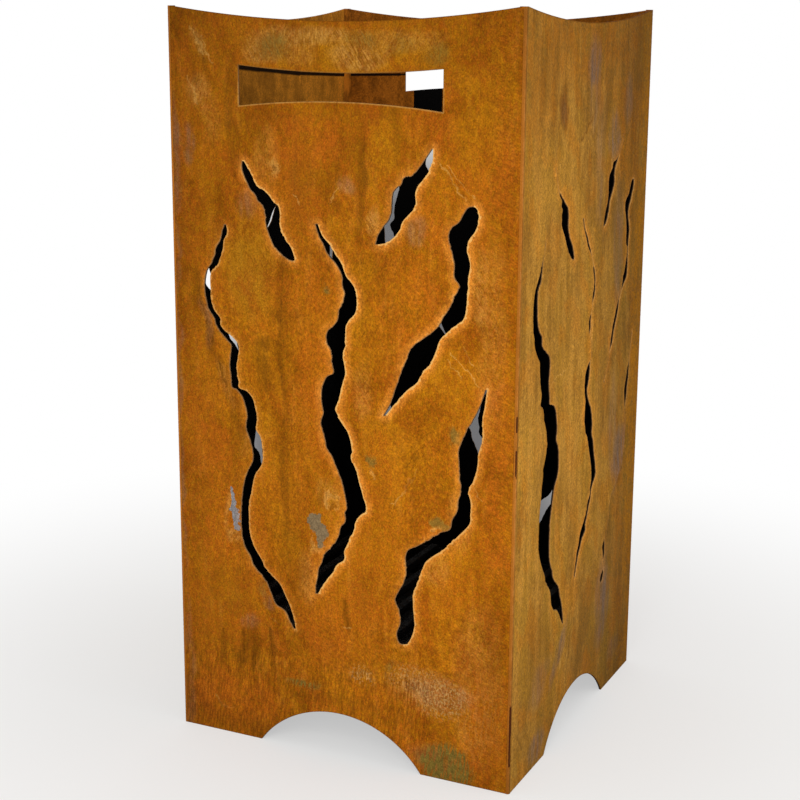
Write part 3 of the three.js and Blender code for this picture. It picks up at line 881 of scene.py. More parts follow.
class Nodes:
    """A node tree that is built up node by node."""

    def __init__(self, tree):
        self.tree = tree

    def declare(self, in_out, sockets):
        """The outer sockets of a group, each a name and a kind."""
        for name, kind in sockets:
            self.tree.interface.new_socket(name=name, in_out=in_out, socket_type=f"NodeSocket{kind}")

    def add(self, kind, **inputs):
        """A new node with some inputs joined, their names' spaces written as underscores."""
        node = self.tree.nodes.new(kind)
        for name, value in inputs.items():
            self.join(value, node.inputs[name.replace("_", " ")])
        return node

    def join(self, source, socket):
        """Link a socket to another node's output, or set it to a plain value."""
        if isinstance(source, bpy.types.NodeSocket):
            self.tree.links.new(source, socket)
        elif socket.type == "RGBA":
            socket.default_value = (*source, 1.0)
        else:
            socket.default_value = source

    def math(self, operation, *values, clamp=False):
        node = self.add("ShaderNodeMath")
        node.operation = operation
        node.use_clamp = clamp
        for value, socket in zip(values, node.inputs):
            self.join(value, socket)
        return node.outputs[0]

    def vector_math(self, operation, *values):
        node = self.add("ShaderNodeVectorMath")
        node.operation = operation
        sockets = (node.inputs[0], node.inputs["Scale"]) if operation == "SCALE" else node.inputs
        for value, socket in zip(values, sockets):
            self.join(value, socket)
        gives_number = operation in ("LENGTH", "DISTANCE", "DOT_PRODUCT")
        return node.outputs["Value" if gives_number else "Vector"]

    def mul(self, a, b):
        return self.math("MULTIPLY", a, b)

    def mul_add(self, value, factor, more):
        return self.math("MULTIPLY_ADD", value, factor, more)

    def total(self, a, b):
        return self.math("ADD", a, b)

    def most(self, a, b):
        return self.math("MAXIMUM", a, b)

    def rest(self, value):
        """What is left of 1."""
        return self.math("SUBTRACT", 1.0, value)

    def lerp(self, amount, low, high):
        """Between two plain values."""
        return self.mul_add(self.math("SUBTRACT", high, low), amount, low)

    def scaled(self, vector, factor):
        """A direction made longer or shorter, or a colour made lighter or darker."""
        return self.vector_math("SCALE", vector, factor)


# A Mix node's sockets for its share and its two colours, and its colour output
MIX_SHARE, MIX_LOW, MIX_HIGH, MIX_COLOUR = 0, 6, 7, 2


class Finish(Nodes):
    """A material that is built up node by node."""

    def __init__(self, name, roughness, specular):
        self.material = bpy.data.materials.new(name)
        self.material.use_nodes = True
        super().__init__(self.material.node_tree)
        self.tree.nodes.clear()
        self.surface = self.add("ShaderNodeBsdfPrincipled", Roughness=roughness, Specular_IOR_Level=specular)
        self.output = self.add("ShaderNodeOutputMaterial", Surface=self.surface.outputs[0])
        self.place = self.add("ShaderNodeTexCoord").outputs["Object"]
        self.up = self.mul(self.add("ShaderNodeSeparateXYZ", Vector=self.place).outputs[2], 1 / MM)

    def blend(self, amount, low, high):
        """Between two colours."""
        node = self.add("ShaderNodeMix")
        node.data_type = "RGBA"
        for value, number in ((amount, MIX_SHARE), (low, MIX_LOW), (high, MIX_HIGH)):
            self.join(value, node.inputs[number])
        return node.outputs[MIX_COLOUR]

    def band(self, value, low, high, to_low=0.0, to_high=1.0):
        """The value's smooth step between two others."""
        node = self.add("ShaderNodeMapRange", Value=value, From_Min=low, From_Max=high, To_Min=to_low,
                        To_Max=to_high)
        node.interpolation_type = "SMOOTHSTEP"
        return node.outputs[0]

    def between(self, value, low, high, soft):
        """1 from low to high, with soft ends."""
        return self.mul(self.band(value, low - soft, low + soft), self.band(value, high + soft, high - soft))

    def value(self, name):
        node = self.add("ShaderNodeAttribute")
        node.attribute_name = name
        return node.outputs["Fac"]

    def noise(self, size, detail, roughness, place=None, swirl=0.0):
        """Noise with features of a size, from 0 to 1."""
        node = self.add("ShaderNodeTexNoise", Vector=self.place if place is None else place, Scale=1 / size,
                        Detail=detail, Roughness=roughness, Distortion=swirl)
        return node.outputs["Fac"]

    def bump(self, height, distance, strength, under=None):
        node = self.add("ShaderNodeBump", Height=height, Distance=distance, Strength=strength)
        if under is not None:
            self.join(under, node.inputs["Normal"])
        return node.outputs[0]

    def paint(self, tint, roughness, normal):
        for source, name in ((tint, "Base Color"), (roughness, "Roughness"), (normal, "Normal")):
            self.join(source, self.surface.inputs[name])
        return self.material


def line_group():
    """Node group: how near a place on a plate is to the line from one place to another, 1 on the line."""
    nodes = Nodes(bpy.data.node_groups.new("line", "ShaderNodeTree"))
    places = (("Place", "Vector"), ("From", "Vector"), ("To", "Vector"))
    nodes.declare("INPUT", (*places, ("Half width", "Float")))
    nodes.declare("OUTPUT", (("Line", "Float"),))
    source = nodes.add("NodeGroupInput").outputs
    path = nodes.vector_math("SUBTRACT", source["To"], source["From"])
    reach = nodes.vector_math("SUBTRACT", source["Place"], source["From"])
    path_square = nodes.vector_math("DOT_PRODUCT", path, path)
    along = nodes.math("DIVIDE", nodes.vector_math("DOT_PRODUCT", reach, path), path_square, clamp=True)
    distance = nodes.vector_math("DISTANCE", reach, nodes.scaled(path, along))
    near = nodes.math("DIVIDE", distance, source["Half width"], clamp=True)
    nodes.join(nodes.rest(near), nodes.add("NodeGroupOutput").inputs[0])
    return nodes.tree


# How far lines are swayed off their course, in millimetres, and the size of the sways
SWAY = 7
SWAY_SIZE = 9 * MM


class PlateFinish(Finish):
    """The material of one plate, whose grain runs across and up the plate."""

    def __init__(self, side, lines):
        super().__init__(f"rusted_plate_{side}", 0.9, 0.05)
        self.side = side
        self.lines = lines
        self.seed = 1.7 * list(SIDES).index(side)
        self.across = self.value("across")
        self.spot = self.add("ShaderNodeCombineXYZ", X=self.across, Y=self.up).outputs[0]
        sway = self.add("ShaderNodeTexNoise", Vector=self.place, Scale=1 / SWAY_SIZE).outputs["Color"]
        shift = self.vector_math("MULTIPLY_ADD", sway, (2 * SWAY, 2 * SWAY, 0), (-SWAY, -SWAY, 0))
        self.swayed_spot = self.vector_math("ADD", self.spot, shift)

    def grain(self, across, up, detail=3.0, roughness=0.6, lean=0.0, swirl=0.0):
        """Noise with features of a size in millimetres across and up the plate, from 0 to 1."""
        out = SIDES[self.side][1]
        node = self.add("ShaderNodeMapping", Vector=self.place, Location=(self.seed,) * 3,
                        Rotation=(lean * out.x, lean * out.y, 0), Scale=(across * MM, across * MM, up * MM))
        node.vector_type = "TEXTURE"
        return self.noise(1.0, detail, roughness, node.outputs[0], swirl)

    def line_mask(self, lines, spot):
        """All the given lines as one mask over a place."""
        mask = 0.0
        for from_across, from_up, to_across, to_up, half_width in lines:
            node = self.add("ShaderNodeGroup")
            node.node_tree = self.lines
            ends = (("Place", spot), ("From", (from_across, from_up, 0)), ("To", (to_across, to_up, 0)))
            for name, value in (*ends, ("Half width", 2 * half_width)):
                self.join(value, node.inputs[name])
            mask = self.most(mask, node.outputs[0])
        return mask

    def lines_of(self, kind):
        return self.line_mask(LINES[self.side].get(kind, ()), self.swayed_spot)


def plate_material(side, settings, lines):
    """Rusted plate: mottled rust, marks, heated and lit edges, cut faces, painted light and shade, and
    inside rust, a soot patch, black painted shade and painted shadow lines.
    """
    finish = PlateFinish(side, lines)
    mul, mul_add, lerp, most, rest = finish.mul, finish.mul_add, finish.lerp, finish.most, finish.rest
    total, band, blend, grain, value = finish.total, finish.band, finish.blend, finish.grain, finish.value
    wide = grain(62, 95, 2, 0.5)
    cloud = grain(20, 34, 4, 0.62, swirl=0.5)
    fine = grain(4.2, 5.0, 5, 0.72)
    dust = grain(1.6, 2.0, 3, 0.75)
    flecks = grain(3, 5, 3, 0.7)
    picks = grain(30, 45, 2, 0.5, lean=0.4)
    fan = grain(48, 48, 1, 0.5)
    runs = grain(7, 70, 3, 0.6)
    strokes = lerp(band(fan, 0.4, 0.5), grain(1.5, 9, 2, 0.6, 0.55), grain(1.5, 9, 2, 0.6, -0.45))
    strokes = lerp(band(fan, 0.5, 0.6), strokes, grain(1.6, 11, 2, 0.6, 0.05))

    # Side plates: greyer ochre, partly their rust and partly painted sheen that pales them
    if LIKE[side] == "right":
        thin_streak = grain(4, 30, 3, 0.6)
        broad = grain(16, 120, 2, 0.5)
        tint = blend(band(wide, 0.36, 0.62), settings.ochre_deep, settings.ochre_grey)
        tint = blend(band(lerp(0.5, broad, cloud), 0.42, 0.6, 0.1, 0.7), tint, settings.ochre)
        tint = blend(band(picks, 0.48, 0.64, 0, 0.32), tint, settings.rust)
        shade = mul_add(lerp(0.7, broad, thin_streak), 0.4, 0.8)
        shade = mul(shade, mul_add(lerp(0.4, flecks, runs), 0.55, 0.725))
        glow_share, rim_share = 0.28, 0.3
        red = settings.rust
    else:
        tint = blend(band(wide, 0.38, 0.62), settings.rust_deep, settings.rust)
        for texture, none, full, share_of_ink, ink in (
            (cloud, 0.36, 0.6, 0.7, settings.rust),
            (lerp(0.5, cloud, runs), 0.5, 0.72, 0.7, settings.rust_bright),
            (runs, 0.48, 0.3, 0.5, settings.rust_deep),
            (picks, 0.5, 0.66, 0.25, settings.rust_red),
            (picks, 0.48, 0.34, 0.25, settings.rust_gold),
            (flecks, 0.5, 0.66, 0.45, settings.rust_gold),
            (flecks, 0.5, 0.34, 0.35, settings.rust_red),
        ):
            tint = blend(band(texture, none, full, 0, share_of_ink), tint, ink)
        combed = band(grain(1.9, 11, 1, 0.5, lean=-0.12), 0.38, 0.62, 0.2, 0.8)
        strokes = lerp(band(finish.up, 118, 96), strokes, combed)
        waves = band(grain(5.5, 1.7, 2, 0.6, lean=-0.35), 0.36, 0.64, 0.3, 0.7)
        margin = mul(band(finish.up, 240, 170), band(finish.across, 96, 124))
        margin = most(margin, band(finish.across, 158, 176))
        shade = mul_add(lerp(margin, strokes, waves), 0.6, 0.7)
        glow_share, rim_share = 0.75, 0.95
        red = settings.rust_red

    # Marks are torn by runs and clouds, and lines by fine grain
    stipple = band(grain(2.3, 3.2, 2, 0.6), 0.5, 0.58)
    marks = (
        ("red", red, 0.6, cloud),
        ("gold", settings.rust_gold, 0.7, cloud),
        ("ochre", settings.ochre, 0.7, runs),
        ("pale", settings.pale, 0.5, strokes),
        ("plum", settings.plum, 0.9, runs),
        ("olive", settings.olive, 0.9, strokes),
        ("dark", settings.umber, 0.8, runs),
    )
    for kind, ink, strength, tear in marks:
        texture = band(lerp(0.5, tear, lerp(0.5, cloud, fine)), 0.4, 0.6, 0.2, 1.1)
        tint = blend(mul(mul(value(f"mark_{kind}"), texture), strength), tint, ink)
    tint = blend(mul(mul(value("mark_worn"), stipple), 0.75), tint, settings.worn)
    patchy = mul_add(fine, 1.3, -0.65)
    broken = band(cloud, 0.42, 0.56, 0.25, 1.0)
    for kind, ink, strength, gaps in (
        ("olive", settings.olive, 0.75, 1.0),
        ("pale", settings.pale, 0.45, broken),
        ("dark", settings.umber, 0.6, broken),
    ):
        mask = band(total(finish.lines_of(kind), patchy), 0.3, 0.75)
        tint = blend(mul(mul(mask, gaps), strength), tint, ink)
    for kind, ink in (("bare", settings.bare), ("ground", settings.ground)):
        mask = band(total(finish.lines_of(kind), mul(patchy, 0.6)), 0.4, 0.52)
        tint = blend(mul(mask, 0.92), tint, ink)

    # Heated rust and the lit and dull edges of the cuts
    near_slit, heat = value("slit_distance"), value("slit_heat")
    slot_edge, depth = value("slot_edge"), value("depth")
    right_edge = band(value("slit_side"), -0.3, 0.5)
    off_slit = band(near_slit, 2, 4)
    ragged = total(near_slit, mul_add(fine, -5.0, 2.5))
    glow = mul(band(ragged, 11, 0.5), lerp(right_edge, band(cloud, 0.4, 0.62, 0.35, 0.9), 0.95))
    tint = blend(mul(mul(glow, heat), glow_share), tint, settings.glow)
    shade = mul(shade, mul_add(fine, 1.3, 0.35))
    # Painted light and shade lighten and darken the plate by place
    shade = mul(mul(shade, mul_add(dust, 2.1, -0.05)), value("painted_light"))
    tint = finish.scaled(tint, shade)
    lit = mul(lerp(right_edge, band(cloud, 0.5, 0.62, 0, 0.45), 0.95), mul_add(heat, 0.7, 0.3))
    toothed = total(near_slit, lerp(grain(3.2, 3.2, 2, 0.6), 3.2, -3.0))
    tint = blend(mul(mul(band(toothed, 2.6, 1.0), lit), rim_share), tint, settings.rim)
    tint = blend(mul(mul(band(near_slit, 1.3, 0.4), rest(right_edge)), 0.75), tint, settings.cut_face)
    # A thin line along the frame's cut edges: umber, and on the handle slot pale, a painted highlight
    # strongest on its lower edge
    frame_edge = mul(band(value("edge_distance"), 1.9, 0.5), off_slit)
    frame_edge = mul(frame_edge, band(finish.math("ABSOLUTE", finish.across), 195.5, 193.5))
    lit_slot_edge = mul(slot_edge, band(finish.up, 726, 720, 0.25, 0.8))
    frame_ink = blend(lit_slot_edge, settings.umber, settings.pale)
    tint = blend(mul(frame_edge, band(fine, 0.35, 0.6, 0.3, 0.8)), tint, frame_ink)
    cut_ink = blend(mul(off_slit, rest(slot_edge)), settings.cut_face, settings.umber)
    tint = blend(mul(band(depth, 0.06, 0.12), band(depth, 0.94, 0.88)), tint, finish.scaled(cut_ink, shade))

    # Inside: rust near the rim, black painted shade below it, a soot patch, and painted shadow lines
    inner_rust, dim, bright = settings.inner, 0.55, 1.02
    # Painted light: the left plate's inside is painted lighter, where the lamps reach it less
    if side == "left":
        inner_rust, dim, bright = settings.inner_ochre, 0.85, 1.5
    inner = mul(shade, band(lerp(0.5, cloud, grain(24, 60, 3, 0.6)), 0.38, 0.62, dim, bright))
    inside = band(depth, 0.5, 0.9)
    tint = blend(inside, tint, finish.scaled(inner_rust, inner))
    # Painted shade: the inner faces turn black below about 680 mm, for the dark deep inside
    shade_and_soot = mul(band(mul_add(grain(40, 26, 2, 0.5), 30, finish.up), 694, 668), band(depth, 0.12, 0.6))
    for low_across, high_across, low, high in SOOT_PATCHES.get(side, ()):
        across_patch = finish.between(finish.across, low_across, high_across, SOOT_SOFT)
        patch = mul(across_patch, finish.between(finish.up, low, high, SOOT_SOFT))
        shade_and_soot = most(shade_and_soot, mul(patch, inside))
    # Painted shadow: a black line on the inner walls just under the handle slot's upper edge
    painted_shadow_line = total(finish.line_mask(PAINTED_SHADOW_LINES.get(side, ()), finish.spot), mul(patchy, 0.25))
    painted_shadow_line = mul(band(painted_shadow_line, 0.2, 0.65), inside)
    tint = blend(most(shade_and_soot, mul(painted_shadow_line, 0.97)), tint, settings.soot)

    normal = finish.bump(fine, 0.5 * MM, 0.35)
    normal = finish.bump(strokes, 0.4 * MM, 0.25, normal)
    return finish.paint(tint, band(fine, 0.3, 0.7, 0.75, 0.95), normal)


def inside_material(name, settings, ashy, rusty):
    """Dark heated steel with scale, rust, soot and a dusting of ash on what faces up."""
    finish = Finish(name, 0.8, 0.12)
    patch = finish.noise(22 * MM, 4, 0.6)
    grain = finish.noise(1.4 * MM, 3, 0.7)
    speck = finish.noise(5 * MM, 4, 0.7)
    tint = finish.blend(finish.band(patch, 0.4, 0.65), settings.soot, settings.scale)
    tint = finish.blend(finish.band(speck, 0.5, 0.7, 0, rusty), tint, settings.rust)
    facing = finish.add("ShaderNodeNewGeometry").outputs["Normal"]
    upward = finish.band(finish.add("ShaderNodeSeparateXYZ", Vector=facing).outputs[2], 0.6, 0.95)
    tint = finish.blend(finish.mul(upward, finish.band(patch, 0.42, 0.62, 0, ashy)), tint, settings.ash)
    tint = finish.scaled(tint, finish.mul_add(grain, 0.6, 0.7))
    normal = finish.bump(grain, 0.4 * MM, 0.4)
    normal = finish.bump(speck, 0.8 * MM, 0.35, normal)
    return finish.paint(tint, finish.band(speck, 0.3, 0.7, 0.55, 0.9), normal)


def weld_material(settings, plates):
    """Rusted bead: ground smooth outside with a painted highlight along its ridge and a dark line, black
    painted shade inside below the rim.
    """
    finish = Finish("rusted_weld", 0.85, 0.05)
    mul, mul_add, band, blend = finish.mul, finish.mul_add, finish.band, finish.blend
    grain = finish.noise(1.6 * MM, 3, 0.7)
    speck = finish.noise(7 * MM, 3, 0.6, finish.vector_math("MULTIPLY", finish.place, (1, 1, 0.4)))
    to_side = finish.value("to_side")
    outside = finish.value("outside")
    tint = blend(band(to_side, 0.5, 0.75), settings.front_rust, settings.side_rust)
    # Painted highlight along the bead's ridge
    line = mul(mul(band(to_side, 0.25, 0.4), band(to_side, 0.6, 0.5)), band(speck, 0.42, 0.6, 0.1, 0.7))
    tint = blend(mul(line, outside), tint, settings.light)
    line = mul(mul(band(to_side, 0.58, 0.7), band(to_side, 0.95, 0.8)), band(speck, 0.6, 0.45, 0.1, 0.9))
    tint = blend(mul(line, outside), tint, settings.seam)
    ragged = mul_add(finish.noise(3 * MM, 3, 0.7), 1.6, -0.8)
    gap_line = mul(finish.value("open_seam"), mul(band(to_side, 0.1, 0.3), band(to_side, 0.95, 0.8)))
    gap_line = band(finish.total(gap_line, ragged), 0.35, 0.6)
    tint = blend(mul(gap_line, outside), tint, settings.gap)
    tint = blend(band(outside, 0.4, 0.1), tint, finish.scaled(plates.inner, band(speck, 0.4, 0.6, 0.5, 1.0)))
    shade = mul(mul_add(grain, 0.8, 0.6), mul_add(speck, 0.6, 0.7))
    tint = finish.scaled(tint, mul(shade, finish.value("painted_light")))
    # Painted shade: the inner bead turns black below about 680 mm, as the plates' inside does
    shade_and_soot = mul(band(finish.up, 690, 665), band(outside, 0.4, 0.1))
    tint = blend(shade_and_soot, tint, plates.soot)
    normal = finish.bump(grain, 0.3 * MM, 0.4)
    return finish.paint(tint, band(speck, 0.3, 0.7, 0.75, 0.95), normal)


# Pieces

def place_piece(name, mesh, body, nodes, material):
    """A finished piece that rides on its body and stands for its solids."""
    piece = bpy.data.objects.new(name, mesh)
    bpy.context.scene.collection.objects.link(piece)
    mesh.materials.clear()
    mesh.materials.append(material)
    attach(piece, body)
    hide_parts(*nodes)


def bumped_out(name, mesh, tree, values, material):
    """The plain mesh that a geometry tree makes of another mesh."""
    carrier = bpy.data.objects.new(name, mesh)
    bpy.context.scene.collection.objects.link(carrier)
    modifier = carrier.modifiers.new("made", "NODES")
    modifier.node_group = tree
    sockets = {s.name: s.identifier for s in tree.interface.items_tree if s.in_out == "INPUT"}
    for socket_name, value in {**values, "Material": material}.items():
        modifier[sockets[socket_name]] = value
    evaluated = carrier.evaluated_get(bpy.context.evaluated_depsgraph_get())
    made = bpy.data.meshes.new_from_object(evaluated)
    carrier.modifiers.clear()
    bpy.data.objects.remove(carrier)
    made.name = name
    return made


class Tree(Nodes):
    """A geometry tree that is built up node by node and sets its result's material."""

    def __init__(self, name, inputs):
        super().__init__(bpy.data.node_groups.new(name, "GeometryNodeTree"))
        self.declare("INPUT", (("Geometry", "Geometry"), *inputs, ("Material", "Material")))
        self.declare("OUTPUT", (("Geometry", "Geometry"),))
        self.source = self.add("NodeGroupInput").outputs
        self.result = self.add("NodeGroupOutput").inputs

    def finish(self, geometry):
        """Every tree ends in real geometry with its material set."""
        real = self.add("GeometryNodeRealizeInstances", Geometry=geometry)
        painted = self.add("GeometryNodeSetMaterial", Geometry=real.outputs[0],
                           Material=self.source["Material"])
        self.join(painted.outputs[0], self.result[0])
        return self.tree


# How many steps round a bar's corner, and the size of the noise that warps bars and ruffles the beads
CORNER_STEPS = 2
WARP_SIZE = 18 * MM
RUFFLE_SIZE = 14 * MM


def bar_tree():
    """Chamfered square bars, one at each point of the given mesh, along X, Y or Z."""
    tree = Tree("square_bars", (
        ("Length", "Float"), ("Size", "Float"), ("Corner", "Float"), ("Turn", "Vector"), ("Steps", "Int"),
        ("Warp", "Float"),
    ))
    source = tree.source
    half = tree.mul(source["Length"], 0.5)
    ends = [tree.add("ShaderNodeCombineXYZ", Z=reach).outputs[0] for reach in (tree.mul(half, -1.0), half)]
    line = tree.add("GeometryNodeCurvePrimitiveLine", Start=ends[0], End=ends[1])
    path = tree.add("GeometryNodeResampleCurve", Curve=line.outputs[0], Count=source["Steps"])
    section = tree.add("GeometryNodeCurvePrimitiveQuadrilateral", Width=source["Size"],
                       Height=source["Size"])
    rounded = tree.add("GeometryNodeFilletCurve", Curve=section.outputs[0], Radius=source["Corner"])
    rounded.mode = "POLY"
    rounded.inputs["Count"].default_value = CORNER_STEPS
    bar = tree.add("GeometryNodeCurveToMesh", Curve=path.outputs[0], Profile_Curve=rounded.outputs[0],
                   Fill_Caps=True)
    turned = tree.add("GeometryNodeTransform", Geometry=bar.outputs[0], Rotation=source["Turn"])
    bars = tree.add("GeometryNodeInstanceOnPoints", Points=source["Geometry"], Instance=turned.outputs[0])
    real = tree.add("GeometryNodeRealizeInstances", Geometry=bars.outputs[0])
    rough = tree.add("ShaderNodeTexNoise", Scale=1 / WARP_SIZE, Detail=2.0).outputs["Color"]
    pull = tree.scaled(tree.vector_math("SUBTRACT", rough, (0.5, 0.5, 0.5)), source["Warp"])
    warped = tree.add("GeometryNodeSetPosition", Geometry=real.outputs[0], Offset=pull)
    return tree.finish(warped.outputs[0])


def bead_tree():
    """A bead whose rings swell and sink in ripples along its height."""
    tree = Tree("weld_bead", (("Pitch", "Float"), ("Ripple", "Float")))
    place = tree.add("GeometryNodeInputPosition").outputs[0]
    level = tree.add("ShaderNodeSeparateXYZ", Vector=place).outputs[2]
    unsteady = tree.add("ShaderNodeTexNoise", Scale=1 / RUFFLE_SIZE, Detail=1.0).outputs["Fac"]
    turns = tree.total(tree.math("DIVIDE", level, tree.source["Pitch"]), tree.mul(unsteady, 1.5))
    ripple = tree.math("ABSOLUTE", tree.math("SINE", tree.mul(turns, math.pi)))
    height = tree.mul(tree.math("SUBTRACT", ripple, 0.6), tree.source["Ripple"])
    free = tree.add("GeometryNodeInputNamedAttribute", Name="free").outputs[0]
    normal = tree.add("GeometryNodeInputNormal").outputs[0]
    push = tree.scaled(normal, tree.mul(height, free))
    moved = tree.add("GeometryNodeSetPosition", Geometry=tree.source["Geometry"], Offset=push)
    return tree.finish(moved.outputs[0])


# Corner welds

# The plates that meet at each corner, left and right as seen from outside
CORNERS = {
    "front_right": ("front", "right"),
    "back_right": ("right", "back"),
    "back_left": ("back", "left"),
    "front_left": ("left", "front"),
}

# Steps round a bead's outer round and across its inner crown
ROUND_STEPS = 8
CROWN_STEPS = 6

# Where the near weld's seam is open, low and high in millimetres, and how far in it is open fully
OPEN_LEVELS = {"front_right": ((28, 102), (339, 376), (385, 409))}
OPEN_FADE = 8


def seam_radii(node, left_side, right_side):
    """The levels of a corner weld's solid and the radius of its outer round at each."""
    outward = SIDES[left_side][1] + SIDES[right_side][1]
    root = (HALF_WIDTH - PLATE) * outward
    rings = {}
    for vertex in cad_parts[node].data.vertices:
        reach = (vertex.co - root).dot(outward) / math.sqrt(2)
        level = round(vertex.co.z, 6)
        rings[level] = max(rings.get(level, 0), reach)
    levels = sorted(rings)
    return levels, [rings[level] for level in levels]


def weld_mesh(corner, settings):
    """A corner weld before its ripples: outer round, root between the plates and crowned inner bead."""
    left_side, right_side = CORNERS[corner]
    node = f"corner_weld_{corner}"
    left_along = SIDES[left_side][0]
    left_out, right_out = SIDES[left_side][1], SIDES[right_side][1]
    root = (HALF_WIDTH - PLATE) * (left_out + right_out)
    low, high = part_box(node)
    inner_leg = (high.x - low.x) - PLATE
    gap = HALF_WIDTH - PLATE - PLATE_HALF
    levels, radii = seam_radii(node, left_side, right_side)
    verts, values = [], []
    heights = np.linspace(0, HEIGHT, round(HEIGHT / settings.step) + 1)
    for height in heights:
        solid = np.interp(height, levels, radii)
        radius = PLATE - (PLATE - solid) * settings.open_depth
        level = height / MM
        inside = [min(level - bottom, top - level) for bottom, top in OPEN_LEVELS.get(corner, ())]
        gap_line = min(max(max(inside, default=0) / OPEN_FADE, 0), 1)
        # Painted light and shade by level, from the side plates' curve
        tint = np.interp(level, *zip(*PAINTED_LIGHT_CURVES["right"][0]))
        section = [(-gap, -radius, 1, 0)]
        for i in range(ROUND_STEPS + 1):
            angle = math.pi / 2 * (i / ROUND_STEPS - 1)
            section.append((radius * math.cos(angle), radius * math.sin(angle), 1, 0.5))
        section += [(radius, gap, 1, 0), (0, gap, 0, 0)]
        for i in range(CROWN_STEPS + 1):
            t = i / CROWN_STEPS
            rise = settings.crown * 4 * t * (1 - t) / math.sqrt(2)
            section.append((-inner_leg * t - rise, inner_leg * (1 - t) + rise, 0, math.sin(math.pi * t)))
        section.append((-gap, 0, 0, 0))
        for x, y, is_outside, is_free in section:
            verts.append(root + left_along * x - left_out * y + UP * height)
            to_side = math.atan2(max(x, 0), max(-y, 1e-9)) / (math.pi / 2)
            if LIKE[right_side] != "right":
                to_side = 1 - to_side
            values.append((is_outside, is_free, is_outside * gap_line, to_side, tint))
    count = len(section)
    faces = []
    for row in range(len(heights) - 1):
        for i in range(count):
            a, b = row * count + i, row * count + (i + 1) % count
            faces.append((a, b, b + count, a + count))
    faces.append(tuple(reversed(range(count))))
    faces.append(tuple(range(len(verts) - count, len(verts))))
    mesh = bpy.data.meshes.new(node)
    mesh.from_pydata([tuple(v) for v in verts], [], faces)
    add_values(mesh, dict(zip(("outside", "free", "open_seam", "to_side", "painted_light"), zip(*values))))
    return mesh


def facing_out(mesh):
    """The mesh with all its faces turned outward."""
    shape = bmesh.new()
    shape.from_mesh(mesh)
    bmesh.ops.recalc_face_normals(shape, faces=shape.faces)
    shape.to_mesh(mesh)
    shape.free()
    return mesh


def rounded_copy(name, node, radius):
    """A copy of a solid with its edges rounded."""
    shape = bmesh.new()
    shape.from_mesh(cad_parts[node].data)
    bmesh.ops.remove_doubles(shape, verts=shape.verts, dist=SAME_POINT)
    bmesh.ops.dissolve_limit(shape, angle_limit=math.radians(1), verts=shape.verts, edges=shape.edges)
    sharp = [e for e in shape.edges if e.calc_face_angle(0) > math.radians(ROUNDED_TURN)]
    bmesh.ops.bevel(shape, geom=sharp, offset=radius, segments=ROUNDED_STEPS, profile=0.5, affect="EDGES",
                    clamp_overlap=True)
    mesh = bpy.data.meshes.new(name)
    shape.to_mesh(mesh)
    shape.free()
    smoothed(mesh, PIECE_SHARP)
    return mesh


def nodes_named(start):
    return sorted(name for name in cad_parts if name.startswith(start))


class BARREL_OT_plates(bpy.types.Operator):
    """Dress the four plates"""
    bl_idname = "barrel.make_plates"
    bl_label = "Plates"

    def execute(self, context):
        settings = context.scene.barrel_plates
        lines = line_group()
        for side in SIDES:
            material = plate_material(side, settings, lines)
            mesh = plate_mesh(side, settings)
            place_piece(f"plate_{side}", mesh, "shell", [f"wall_{side}"], material)
        return {"FINISHED"}


class BARREL_OT_welds(bpy.types.Operator):
    """Lay the four corner welds"""
    bl_idname = "barrel.make_welds"
    bl_label = "Corner welds"

    def execute(self, context):
        settings = context.scene.barrel_welds
        material = weld_material(settings, context.scene.barrel_plates)
        tree = bead_tree()
        values = {"Pitch": settings.ripple_pitch, "Ripple": settings.ripple_height}
        for corner in CORNERS:
            name = f"bead_{corner}"
            mesh = bumped_out(name, facing_out(weld_mesh(corner, settings)), tree, values, material)
            smoothed(mesh, PIECE_SHARP)
            place_piece(name, mesh, "shell", [f"corner_weld_{corner}"], material)
        return {"FINISHED"}


class BARREL_OT_ledges(bpy.types.Operator):
    """Finish the four ledges that carry the pan"""
    bl_idname = "barrel.make_ledges"
    bl_label = "Pan ledges"

    def execute(self, context):
        settings = context.scene.barrel_inside
        material = inside_material("sooty_angle", settings, ashy=0.3, rusty=0.6)
        for node in nodes_named("pan_ledge_"):
            mesh = rounded_copy(node.replace("pan_", "angle_"), node, settings.toe_radius)
            place_piece(mesh.name, mesh, "shell", [node], material)
        return {"FINISHED"}


class BARREL_OT_ash_pan(bpy.types.Operator):
    """Finish the folded ash pan"""
    bl_idname = "barrel.make_ash_pan"
    bl_label = "Ash pan"

    def execute(self, context):
        settings = context.scene.barrel_inside
        material = inside_material("pan_sheet", settings, ashy=0.8, rusty=0.7)
        mesh = rounded_copy("folded_ash_pan", "ash_pan", settings.fold_radius)
        place_piece(mesh.name, mesh, "pan", ["ash_pan"], material)
        return {"FINISHED"}


# The grate's pieces: name, start of their solids' names, the axis they lie along, and steps along each
GRATE_PIECES = (
    ("grate_bars", "grate_bar_", 1, 36),
    ("grate_rails", "grate_rail_", 0, 36),
    ("grate_feet", "grate_foot_", 2, 4),
)

# How an upright bar is turned to lie along X, Y or Z
BAR_TURNS = ((0, math.pi / 2, 0), (math.pi / 2, 0, 0), (0, 0, 0))


